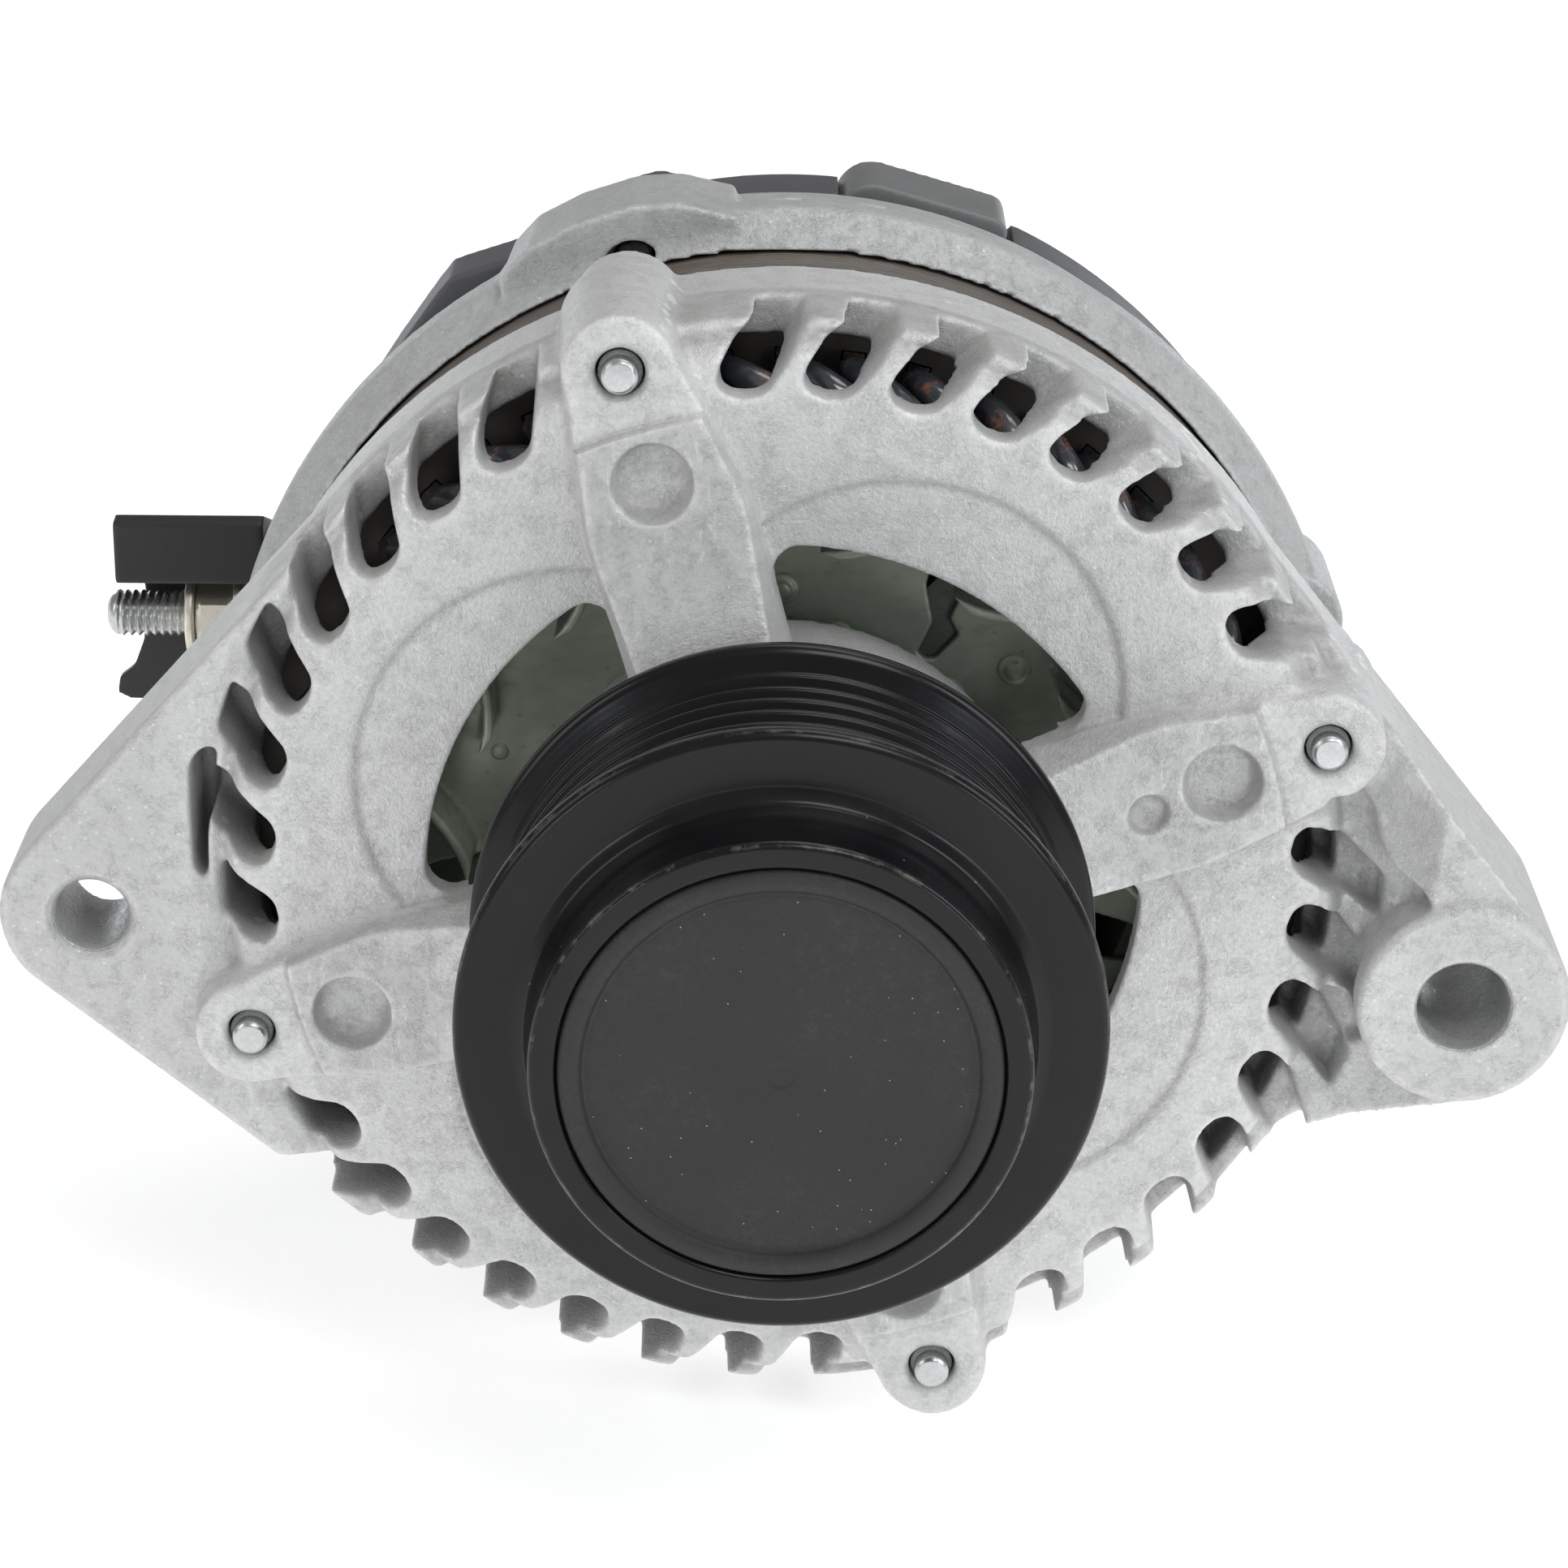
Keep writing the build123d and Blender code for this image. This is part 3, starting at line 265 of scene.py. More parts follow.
def cast_skin(name, level, tint, bores=(), front_bracket=False):
    """Blasted die-cast aluminium: sandy grain, curly flow marks, bright specks, soft stains, and painted
    shade in inner corners.
    """
    g = Graph(name)
    cloud = g.noise(0.035, 4, 0.6)
    mottle = g.noise(0.40, 3, 0.65)
    grain = g.noise(1.7, 2, 0.75)
    fine = g.noise(5.0, 1, 0.5)
    dull, bright = tinted(level * 0.90, tint), tinted(level * 1.06, tint)
    colour = g.ramp(cloud, (0.3, dull), (0.55, tinted(level, tint)), (0.75, bright))
    colour = g.mix(g.span(mottle, 0.45, 0.75, 0, 0.25), colour, tinted(level * 0.72, (1.0, 0.985, 0.95)))
    colour = g.mix(g.span(grain, 0.35, 0.72, 0, 0.36), colour, tinted(level * 0.60, tint))
    fibre = flow_marks(g, mottle)
    colour = g.mix(g.math("MULTIPLY", fibre, 0.40), colour, tinted(min(level * 1.35, 0.95), tint))
    if front_bracket:
        # worn pads, then painted shade in the air slots and on the metal beyond the skirt
        colour = painted_slot_shade(g, worn_pads(g, colour, level, tint), level)
    flash = g.math("MULTIPLY", g.math("GREATER_THAN", g.cells(1.7, output="Color"), 0.86),
                   g.math("LESS_THAN", g.cells(1.7), 0.32))
    colour = g.mix(g.math("MULTIPLY", flash, 0.22), colour, (0.96, 0.96, 0.96))
    # painted shade: inner corners of the casting darkened, standing in for occlusion
    colour = g.mix(g.math("MULTIPLY", g.hollows(), 0.45), colour, tinted(level * 0.40, (1.0, 0.96, 0.9)))
    colour = g.mix(g.math("MULTIPLY", g.edges(), 0.45), colour, tinted(min(level * 1.3, 0.95), tint))
    rough = g.math("SUBTRACT", g.span(grain, 0.3, 0.7, 0.46, 0.64), g.math("MULTIPLY", flash, 0.22))
    height = g.math("ADD", g.math("MULTIPLY", grain, 0.9), g.math("MULTIPLY", fine, 0.30))
    height = g.math("ADD", height, g.math("MULTIPLY", mottle, 0.8))
    height = g.math("ADD", height, g.math("MULTIPLY", fibre, 0.22))
    normal = g.bump(height, 0.85, 0.19)
    if front_bracket:
        normal = arm_crease(g, normal)
    for bore in bores:
        colour, rough = machined_bore(g, bore, colour, rough)
    return g.finish(colour, rough, normal, metallic=0.35, Specular_IOR_Level=0.4)


def flow_marks(g, mottle):
    """Thin curly lines left where the metal flowed, in patches; 0 to 1."""
    curl = g.noise(1.0, 3, 0.7, (1, 1, 1), 2.4)
    fibre = g.span(g.math("ABSOLUTE", g.math("SUBTRACT", curl, 0.52)), 0.0, 0.022, 1, 0)
    return g.math("MULTIPLY", fibre, g.span(mottle, 0.46, 0.60))


def arm_crease(g, normal):
    """Fine line across each arm where its pad ends; the slotted face behind has none."""
    off_crease = g.math("ABSOLUTE", g.math("SUBTRACT", g.from_axis(), CREASE_R))
    behind_arms = g.span(g.axes()[1], 24.6, 25.2)
    flat = g.math("MAXIMUM", g.span(off_crease, 0.0, 0.35), behind_arms)
    return g.bump(flat, 0.7, 0.35, normal)


def machined_bore(g, bore, colour, rough):
    """Smoother skin with turning marks inside one bore, given as x, z and radius."""
    x, z, reach = bore
    inside = g.math("LESS_THAN", g.from_axis(x, z), reach)
    turning = g.node("ShaderNodeTexWave", wave_type="BANDS", bands_direction="Y")
    g.put(turning.inputs["Vector"], g.mm)
    turning.inputs["Scale"].default_value = 0.9
    turning.inputs["Distortion"].default_value = 0.6
    colour = g.mix(inside, colour, g.ramp(turning.outputs["Fac"], (0.0, 0.42), (1.0, 0.60)))
    return colour, g.math("SUBTRACT", rough, g.math("MULTIPLY", inside, 0.22))


def painted_slot_shade(g, colour, level):
    """Painted shade: darker, patchy walls far inside the air slots, and the metal beyond the skirt
    painted darker.
    """
    r = g.from_axis()
    y = g.axes()[1]
    # painted shade on the slot walls far inside the air slots
    slot_shade = g.math("MULTIPLY", g.span(r, 56.5, 58.5), g.span(r, 67.0, 68.0, 1, 0))
    slot_shade = g.math("MULTIPLY", slot_shade, g.span(y, 26.5, 33.0))
    slot_shade = g.math("MULTIPLY", slot_shade, g.span(y, 42.0, 43.0, 1, 0))
    # painted shade: the metal beyond the skirt is made darker
    colour = g.mix(g.span(r, 67.0, 74.0, 0, 0.55), colour, tinted(level * 0.70, (1.0, 1.0, 0.985)))
    # painted shade in the slots, made patchy by noise
    patchy_slot_shade = g.math("MULTIPLY", slot_shade, g.span(g.noise(0.25, 3, 0.6), 0.3, 0.7, 0.30, 0.65))
    return g.mix(patchy_slot_shade, colour, tinted(level * 0.52, (1.0, 0.99, 0.97)))


def worn_pads(g, colour, level, tint):
    """Darker handled patches and short scratches on the arms' raised pads."""
    r = g.from_axis()
    y = g.axes()[1]
    pad = g.math("MULTIPLY", g.span(r, 34, 40), g.span(r, 57.0, 57.5, 1, 0))
    pad = g.math("MULTIPLY", pad, g.span(y, 24.4, 25.4, 1, 0))
    blotch = g.math("MULTIPLY", pad, g.span(g.noise(0.10, 4, 0.65), 0.35, 0.60, 0.35, 0.95))
    colour = g.mix(g.math("MULTIPLY", blotch, 0.60), colour, tinted(level * 0.60, tint))
    scratch = g.noise(0.9, 4, 0.7, (1.0, 1.0, 0.16), 1.2)
    marks = g.math("MULTIPLY", pad, g.span(scratch, 0.58, 0.66))
    return g.mix(g.math("MULTIPLY", marks, 0.4), colour, tinted(min(level * 1.15, 0.95), tint))


def black_coating(name):
    """Satin black coat over turned steel: faint rings, soft haze, dust and rubbed edges."""
    g = Graph(name)
    r = g.from_axis()
    rings = g.math("SINE", g.math("MULTIPLY", r, 9.0))
    haze = g.noise(0.08, 4, 0.6)
    peel = g.noise(1.1, 2, 0.5)
    dust_cell = g.math("LESS_THAN", g.cells(0.55), 0.055)
    dust_pick = g.math("GREATER_THAN", g.cells(0.55, output="Color"), 0.78)
    dust = g.math("MULTIPLY", dust_cell, dust_pick)
    colour = g.ramp(haze, (0.3, (0.0060, 0.0058, 0.0070)), (0.7, (0.0105, 0.0100, 0.0108)))
    lip = g.math("MULTIPLY", g.span(r, 34.25, 34.5), g.span(g.math("ABSOLUTE", g.axes()[1]), 13.0, 13.4))
    nose = g.math("MULTIPLY", g.span(r, 25.6, 25.9), g.span(g.axes()[1], -22.8, -23.1))
    rubbed = g.math("MULTIPLY", g.math("MAXIMUM", lip, nose), g.span(g.noise(0.35, 4, 0.7), 0.50, 0.62))
    colour = g.mix(g.math("MULTIPLY", rubbed, 0.65), colour, (0.17, 0.15, 0.12))
    colour = g.mix(g.math("MULTIPLY", dust, 0.7), colour, (0.30, 0.29, 0.26))
    rough = g.span(haze, 0.3, 0.7, 0.20, 0.30)
    rough = g.math("ADD", rough, g.math("MULTIPLY", dust, 0.4))
    normal = g.bump(rings, 0.05, 0.02)
    normal = g.bump(peel, 0.10, 0.05, normal)
    return g.finish(colour, rough, normal, Specular_IOR_Level=0.22, Coat_Weight=0.10, Coat_Roughness=0.10)


def moulded(name, level, tint=(1, 1, 1), rough_at=0.52, grain_mm=0.35, speckle=0.35, wear=0.35,
            scuffs=0.0):
    """Moulded plastic: spark-eroded grain, soft sheen, light dust, worn edges and scuffs."""
    g = Graph(name)
    haze = g.noise(0.06, 4, 0.6)
    grain = g.noise(1 / grain_mm, 2, 0.6)
    dust_cell = g.math("LESS_THAN", g.cells(0.8), 0.06)
    dust_pick = g.math("GREATER_THAN", g.cells(0.8, output="Color"), 0.72)
    dust = g.math("MULTIPLY", dust_cell, dust_pick)
    colour = g.ramp(haze, (0.3, tinted(level * 0.85, tint)), (0.7, tinted(level * 1.2, tint)))
    colour = g.mix(g.span(grain, 0.4, 0.8, 0, 0.25), colour, tinted(level * 1.7, tint))
    if wear:
        colour = g.mix(g.math("MULTIPLY", g.edges(0.52, 0.60), wear), colour, tinted(level * 2.2, tint))
    colour = g.mix(g.math("MULTIPLY", dust, speckle), colour, (0.45, 0.43, 0.38))
    if scuffs:
        patch = g.math("MULTIPLY", g.span(g.noise(0.9, 4, 0.75), 0.50, 0.68), g.span(haze, 0.42, 0.62))
        colour = g.mix(g.math("MULTIPLY", patch, scuffs), colour, tinted(level * 3.4, tint))
    rough = g.span(grain, 0.3, 0.75, rough_at - 0.07, rough_at + 0.08)
    normal = g.bump(grain, 0.30, 0.05)
    return g.finish(colour, rough, normal, Specular_IOR_Level=0.5)


def plated(name, level, tint=(1, 1, 1), rough_at=0.32, streak=(1, 1, 1)):
    """Plated or ground steel: fine drawn lines, cloudy passivation, small pits."""
    g = Graph(name)
    cloud = g.noise(0.25, 4, 0.6)
    lines = g.noise(2.2, 3, 0.6, streak)
    pits = g.math("LESS_THAN", g.cells(1.6), 0.08)
    colour = g.ramp(cloud, (0.3, tinted(level * 0.82, tint)), (0.7, tinted(level * 1.08, tint)))
    colour = g.mix(g.span(lines, 0.4, 0.75, 0, 0.25), colour, tinted(level * 0.6, tint))
    colour = g.mix(g.math("MULTIPLY", pits, 0.45), colour, tinted(level * 0.4, tint))
    rough = g.span(lines, 0.3, 0.7, rough_at - 0.06, rough_at + 0.10)
    normal = g.bump(lines, 0.18, 0.03)
    return g.finish(colour, rough, normal, metallic=0.9)


def laminations(name):
    """Stack of thin varnished sheets, seen edge on."""
    g = Graph(name)
    y = g.axes()[1]
    stack = g.math("SINE", g.math("MULTIPLY", y, TAU / 0.7))
    shade = g.noise(0.6, 3, 0.6, (0.25, 3.0, 0.25))
    rust = g.noise(0.12, 4, 0.65)
    colour = g.ramp(shade, (0.3, (0.17, 0.155, 0.14)), (0.7, (0.30, 0.275, 0.25)))
    colour = g.mix(g.span(rust, 0.52, 0.72, 0, 0.5), colour, (0.20, 0.12, 0.07))
    colour = g.mix(g.span(stack, -1, 0.2, 0.7, 0), colour, (0.05, 0.045, 0.04))
    return g.finish(colour, g.span(shade, 0.3, 0.7, 0.42, 0.6), g.bump(stack, 0.6, 0.10), metallic=0.55)


def varnished_copper(name):
    """Enamelled copper under dark impregnating varnish, worn to copper along some ridges."""
    g = Graph(name)
    pool = g.noise(0.22, 4, 0.6)
    worn = g.noise(0.55, 3, 0.6, (1, 1, 1), 1.0)
    ridge = g.span(g.math("ABSOLUTE", g.math("SUBTRACT", worn, 0.5)), 0.0, 0.045, 1, 0)
    bare = g.math("MULTIPLY", ridge, g.span(pool, 0.52, 0.62))
    colour = g.ramp(pool, (0.35, (0.045, 0.050, 0.060)), (0.65, (0.110, 0.120, 0.140)))
    colour = g.mix(g.math("MULTIPLY", bare, 0.9), colour, (0.62, 0.20, 0.06))
    normal = g.bump(g.noise(0.8, 2, 0.5), 0.35, 0.15)
    return g.finish(colour, g.span(pool, 0.3, 0.7, 0.14, 0.30), normal, Specular_IOR_Level=0.8,
                    Coat_Weight=0.8, Coat_Roughness=0.10)


def wound_copper(name):
    """Layers of fine enamelled wire."""
    g = Graph(name)
    turns = g.math("SINE", g.math("MULTIPLY", g.axes()[1], TAU / 0.8))
    cloud = g.noise(0.3, 3, 0.6)
    colour = g.ramp(cloud, (0.3, (0.30, 0.10, 0.035)), (0.7, (0.52, 0.20, 0.07)))
    colour = g.mix(g.span(turns, -1, 0, 0.8, 0), colour, (0.05, 0.02, 0.01))
    return g.finish(colour, g.span(cloud, 0.3, 0.7, 0.25, 0.4), g.bump(turns, 0.7, 0.25), metallic=0.6)


def pressed_sheet(name, level, tint, rough_at=0.42):
    """Pressed steel sheet with an oily grey-green film."""
    g = Graph(name)
    film = g.noise(0.07, 4, 0.65)
    smear = g.noise(0.35, 3, 0.6, (1, 1, 2.5))
    spots = g.math("LESS_THAN", g.cells(0.35), 0.10)
    colour = g.ramp(film, (0.3, tinted(level * 0.72, tint)), (0.7, tinted(level * 1.12, tint)))
    colour = g.mix(g.span(smear, 0.5, 0.75, 0, 0.35), colour, tinted(level * 0.5, (0.9, 1.0, 0.8)))
    colour = g.mix(g.math("MULTIPLY", spots, 0.3), colour, tinted(level * 0.3, (1.0, 0.95, 0.7)))
    rough = g.span(smear, 0.3, 0.7, rough_at - 0.1, rough_at + 0.1)
    return g.finish(colour, rough, g.bump(smear, 0.15, 0.1), metallic=0.35)


def matte_floor():
    g = Graph("floor")
    soft = g.noise(0.02, 2, 0.5)
    return g.finish(g.ramp(soft, (0.3, (0.92, 0.92, 0.92)), (0.7, (0.94, 0.94, 0.94))), 0.9,
                    Emission_Color=(1.0, 1.0, 1.0, 1.0), Emission_Strength=0.54)


def carbon_block():
    g = Graph("carbon")
    grain = g.noise(3.0, 3, 0.6)
    colour = g.ramp(grain, (0.35, (0.025, 0.024, 0.023)), (0.8, (0.12, 0.08, 0.06)))
    return g.finish(colour, g.span(grain, 0.3, 0.7, 0.5, 0.7), g.bump(grain, 0.3, 0.05))


FAN_PLATE_Y = 44.8
FAN_RIVETS = ((-0.4, 29.4), (26.6, 19.8), (5.9, 23.7), (-33.2, 9.3))
CREASE_R = 57.3         # fine line across each arm where its pad ends
LUG_BORES = ((77.2, -11.4, 5.6), (-79.5, -6.0, 4.6))    # x, z and radius that looks machined
LOOKS = {
    "floor": matte_floor(),
    "cast_aluminium": cast_skin("cast_aluminium", 0.70, (1.0, 1.0, 0.995), LUG_BORES, front_bracket=True),
    "cast_aluminium_dark": cast_skin("cast_aluminium_dark", 0.55, (0.985, 1.0, 1.0)),
    "lamination_steel": laminations("lamination_steel"),
    "enamelled_copper": varnished_copper("enamelled_copper"),
    "field_winding": wound_copper("field_winding"),
    "zinc_steel": plated("zinc_steel", 0.62, (0.98, 1.0, 1.0), 0.30),
    "cream_zinc": plated("cream_zinc", 0.80, (1.0, 0.95, 0.82), 0.38),
    "bearing_steel": plated("bearing_steel", 0.62, (0.98, 0.99, 1.0), 0.18, (1, 0.1, 1)),
    "pressed_steel": pressed_sheet("pressed_steel", 0.50, (0.90, 1.0, 0.82)),
    "machined_steel": plated("machined_steel", 0.50, (1, 1, 1), 0.30, (0.2, 3, 0.2)),
    "pole_steel": pressed_sheet("pole_steel", 0.16, (0.88, 1.0, 0.82), 0.5),
    "spring_steel": plated("spring_steel", 0.45),
    "seal_rubber": moulded("seal_rubber", 0.018, (1, 1, 1), 0.62, 0.25, 0.15),
    "black_resin": moulded("black_resin", 0.026, (1, 1, 1), 0.50),
    "bobbin_resin": moulded("bobbin_resin", 0.42, (1.0, 0.86, 0.62), 0.45, 0.5, 0.1),
    "grey_resin": moulded("grey_resin", 0.160, (1.0, 1.01, 1.02), 0.50),
    "black_plastic": moulded("black_plastic", 0.078, (1.0, 1.0, 1.06), 0.55),
    "cap_plastic": moulded("cap_plastic", 0.012, (1.0, 1.0, 1.05), 0.58, speckle=0.75, wear=0,
                           scuffs=0.45),
    "guard_plastic": moulded("guard_plastic", 0.014, (1.0, 1.0, 1.0), 0.50),
    "black_coated_steel": black_coating("black_coated_steel"),
    "heatsink_aluminium": plated("heatsink_aluminium", 0.62, (1, 1, 1), 0.36, (0.3, 1, 2)),
    "diode_case": plated("diode_case", 0.66, (1.0, 0.95, 0.82), 0.3),
    "ring_copper": plated("ring_copper", 0.72, (1.0, 0.52, 0.30), 0.22, (0.2, 3, 0.2)),
    "tinned_copper": plated("tinned_copper", 0.68, (1.0, 0.97, 0.92), 0.28),
    "carbon": carbon_block(),
}


# ---- pieces -------------------------------------------------------------------------------------
def dress(obj, look):
    obj.data.materials.clear()
    obj.data.materials.append(LOOKS[look])


def smooth(obj, angle=40):
    for polygon in obj.data.polygons:
        polygon.use_smooth = True
    obj.data.set_sharp_from_angle(angle=math.radians(angle))


def stand_for(obj, node, look=None):
    """Ride obj on the node's body, hide the node and dress obj in the node's finish."""
    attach(obj, BODY_OF[node])
    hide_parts(node)
    dress(obj, look or SLOT_OF[node])
    return obj


def object_from(name, mesh):
    obj = bpy.data.objects.new(name, mesh)
    bpy.context.scene.collection.objects.link(obj)
    return obj


def applied(obj, *modifiers):
    """Add modifiers, then keep only their result."""
    for kind, settings in modifiers:
        made = obj.modifiers.new(kind.lower(), kind)
        for key, value in settings.items():
            setattr(made, key, value)
    graph = bpy.context.evaluated_depsgraph_get()
    mesh = bpy.data.meshes.new_from_object(obj.evaluated_get(graph))
    obj.modifiers.clear()
    obj.data = mesh
    return obj


def softened(node, voxel_mm, rounds):
    """A copy of a CAD node with its edges rounded as a mould leaves them."""
    obj = object_from(node + "_cast", NODES[node].data.copy())
    remesh = {"mode": "VOXEL", "voxel_size": voxel_mm * MM, "use_smooth_shade": True}
    applied(obj, ("REMESH", remesh), ("SMOOTH", {"factor": 0.5, "iterations": rounds}))
    for polygon in obj.data.polygons:
        polygon.use_smooth = True
    return stand_for(obj, node)


FIN_INNER_R, FIN_OUTER_R, FIN_BACK_Y = 57.5, 69.5, 42.5


def soften_fins(obj):
    """Round the fins between the air slots more than the rest of the casting."""
    group = obj.vertex_groups.new(name="fins")
    for vert in obj.data.vertices:
        r, y = math.hypot(vert.co.x, vert.co.z) / MM, vert.co.y / MM
        weight = min(1, (r - FIN_INNER_R) / 4, (FIN_OUTER_R - r) / 1.5, (FIN_BACK_Y - y) / 2.5)
        if weight > 0:
            group.add([vert.index], weight, "REPLACE")
    applied(obj, ("SMOOTH", {"factor": 0.6, "iterations": 18, "vertex_group": "fins"}))


# ---- mesh shapes, in millimetres ----------------------------------------------------------------
def rounded(points, reach, steps=3):
    """Polyline whose inner corners are turned into short curves."""
    smooth_line = [points[0]]
    for before, corner, after in zip(points, points[1:], points[2:]):
        corner = Vector(corner)
        arms = [Vector(before) - corner, Vector(after) - corner]
        cut = min([reach] + [0.45 * arm.length for arm in arms])
        start, stop = (corner + arm.normalized() * cut for arm in arms)
        for i in range(steps + 1):
            t = i / steps
            smooth_line.append(tuple(start * (1 - t) ** 2 + corner * 2 * t * (1 - t) + stop * t * t))
    return smooth_line + [points[-1]]


def turned(profile, steps=128, shape=None, closed=True):
    """Surface of revolution about Y from (radius, y) points; shape(angle, r, y) may change r."""
    rings = []
    for r, y in profile:
        ring = []
        for i in range(steps):
            angle = TAU * i / steps
            reach = shape(angle, r, y) if shape else r
            ring.append((reach * math.cos(angle), y, reach * math.sin(angle)))
        rings.append(ring)
    points = [point for ring in rings for point in ring]
    faces = []
    last = len(rings) if closed else len(rings) - 1
    for j in range(last):
        low, high = j * steps, (j + 1) % len(rings) * steps
        for i in range(steps):
            k = (i + 1) % steps
            faces.append((low + i, low + k, high + k, high + i))
    return points, faces


def hexagon(flat):
    """Limit a radius to a hexagon whose flats are this far from the axis."""
    sixth = TAU / 6
    return lambda angle, r, y: min(r, flat / math.cos((angle + sixth / 2) % sixth - sixth / 2))


def threaded(pitch, depth, from_y, to_y):
    """Cut a helical thread into a radius between two heights."""
    def shape(angle, r, y):
        if not from_y < y < to_y:
            return r
        phase = (y / pitch - angle / TAU) % 1
        fade = min(1.0, (y - from_y) / pitch, (to_y - y) / pitch)
        return r - depth * fade * abs(2 * phase - 1)
    return shape


def rows(r, y0, y1, step):
    count = max(2, round(abs(y1 - y0) / step))
    return [(r, y0 + (y1 - y0) * i / count) for i in range(count + 1)]


def moved(shape, x=0, y=0, z=0, angle=0.0):
    """Turn a shape about Y from +X towards +Z, then shift it."""
    points, faces = shape
    c, s = math.cos(angle), math.sin(angle)
    return [(px * c - pz * s + x, py + y, px * s + pz * c + z) for px, py, pz in points], faces


def swung(shape, y, z):
    """Take a shape made along +Y to run along -X through (y, z)."""
    points, faces = shape
    return [(-py, px + y, pz + z) for px, py, pz in points], faces


def built(name, shapes, node, look=None, angle=35, stands=True):
    """Join shapes into one piece that stands for a CAD node, or only rides with it."""
    points, faces = [], []
    for part_points, part_faces in shapes:
        start = len(points)
        points += part_points
        faces += [tuple(start + index for index in face) for face in part_faces]
    mesh = bpy.data.meshes.new(name)
    mesh.from_pydata([(x * MM, y * MM, z * MM) for x, y, z in points], [], faces)
    work = bmesh.new()
    work.from_mesh(mesh)
    bmesh.ops.remove_doubles(work, verts=work.verts, dist=1e-7)
    bmesh.ops.recalc_face_normals(work, faces=work.faces)
    work.to_mesh(mesh)
    work.free()
    obj = object_from(name, mesh)
    smooth(obj, angle)
    if stands:
        return stand_for(obj, node, look)
    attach(obj, BODY_OF[node])
    dress(obj, look or SLOT_OF[node])
    return obj


# ---- pulley -------------------------------------------------------------------------------------
def pulley():
    """Six-groove sheave with rounded crests, a sloping front web and a stepped nose."""
    pitch, crest, root = 3.56, 31.7, 29.0
    line = [(23.3, -23.0), (23.6, -23.3), (25.7, -23.3), (26.2, -22.8), (26.2, -16.4), (27.0, -14.6)]
    line += [(28.4, -13.85), (33.9, -13.85), (34.6, -13.2), (34.6, -12.0), (34.0, -11.4), (31.9, -10.6)]
    for i in range(6):
        y = (i - 2.5) * pitch
        line += [(crest, y - 1.30), (root, y - 0.33), (root, y + 0.33), (crest, y + 1.30)]
    line += [(31.9, 10.6), (34.0, 11.4), (34.6, 12.0), (34.6, 13.2), (33.9, 13.85), (22.1, 13.85)]
    body = rounded(line, 0.42, 4)
    bore = [(22.1, -17.0), (23.3, -17.0)]
    built("pulley_sheave_turned", [turned(body + bore, 288)], "pulley_sheave", angle=60)


def dust_cap():
    """Moulded cap: rolled rim, shallow groove, slightly crowned matte disc with a gate mark."""
    disc = [(0, -22.62), (1.3, -22.66), (1.6, -22.76), (12.0, -22.72), (19.9, -22.62), (20.45, -22.55)]
    rim = [(20.9, -23.25), (21.7, -23.5), (22.8, -23.35), (23.18, -22.8), (23.1, -17.6), (21.6, -17.6)]
    under = [(21.6, -20.4), (21.0, -20.9), (0, -20.9)]
    shapes = [turned(rounded(disc + rim, 0.35, 4) + under, 256, closed=False)]
    built("pulley_cap_moulded", shapes, "pulley_cap", "cap_plastic", angle=60)


# ---- fasteners ----------------------------------------------------------------------------------
BOLT_CIRCLE_R = 63.5
BOLT_ANGLES = (16.5, 106.5, 196.5, 286.5)
COVER_STUD_R = 56.5
COVER_STUD_ANGLES = (106.5, 226.5, 346.5)
STUD_AXIS = (94.0, 8.4)         # y and z of the battery stud


def long_bolts():
    """Through-bolts: chamfered dog point, rolled thread, plain shank, flanged hexagon head."""
    tip = rounded([(0, 23.2), (1.62, 23.2), (2.02, 23.6), (2.02, 25.3), (2.46, 25.8)], 0.12)
    thread = rows(2.48, 25.9, 41.0, 0.1)
    tail = rounded([(2.48, 41.2), (2.4, 84.5), (4.6, 84.5), (4.6, 85.2), (0, 85.2)], 0.1)
    bolt = turned(tip + thread + tail, 32, threaded(0.8, 0.42, 25.8, 41.1), closed=False)
    head_line = rounded([(0, 85.0), (4.55, 85.0), (4.55, 88.2), (4.0, 88.9), (0, 88.9)], 0.15)
    head = turned(head_line, 48, hexagon(3.95), closed=False)
    shapes = []
    for angle in BOLT_ANGLES:
        turn = math.radians(angle)
        x, z = BOLT_CIRCLE_R * math.cos(turn), BOLT_CIRCLE_R * math.sin(turn)
        shapes += [moved(bolt, x, 0, z), moved(head, x, 0, z, turn)]
    built("through_bolts_threaded", shapes, "through_bolts")


def stud_and_nut():
    """Battery stud with a rolled thread and a domed end, and its cream plated nut."""
    y, z = STUD_AXIS
    tip = 86.25
    shank = [(0, 53), (3.4, 53), (3.4, 56.2), (3.0, 56.2), (3.0, 68.0)]
    thread = rows(2.98, 68.2, tip - 1.6, 0.125)
    dome = rounded([(2.95, tip - 1.5), (2.6, tip - 0.8), (1.6, tip - 0.15), (0, tip)], 0.4)
    stud = turned(shank + thread + dome, 48, threaded(1.0, 0.48, 68.1, tip - 1.2), closed=False)
    strap = boxed((-54.6, y - 3.5, z - 4), (-52.4, 99.5, z + 4), 0.4)
    built("battery_stud_threaded", [swung(stud, y, z), strap], "battery_stud")
    nut_line = [(3.05, 69.9), (4.7, 69.8), (5.9, 70.5), (5.9, 73.8), (4.7, 74.55), (3.4, 74.55)]
    nut_line += [(3.05, 74.2), (3.05, 69.9)]
    nut = turned(rounded(nut_line, 0.12), 96, hexagon(4.6))
    washer = [(3.05, 74.65), (5.5, 74.65), (5.75, 74.9), (5.75, 75.6), (5.5, 75.85), (3.05, 75.85)]
    collar = [(3.05, 68.7), (5.9, 68.7), (6.0, 68.9), (6.0, 69.5), (5.9, 69.7), (3.05, 69.7)]
    rings = [turned(rounded(line + line[:1], 0.1), 64) for line in (washer, collar)]
    built("terminal_nut_chamfered", [swung(shape, y, z) for shape in [nut] + rings], "terminal_nut")


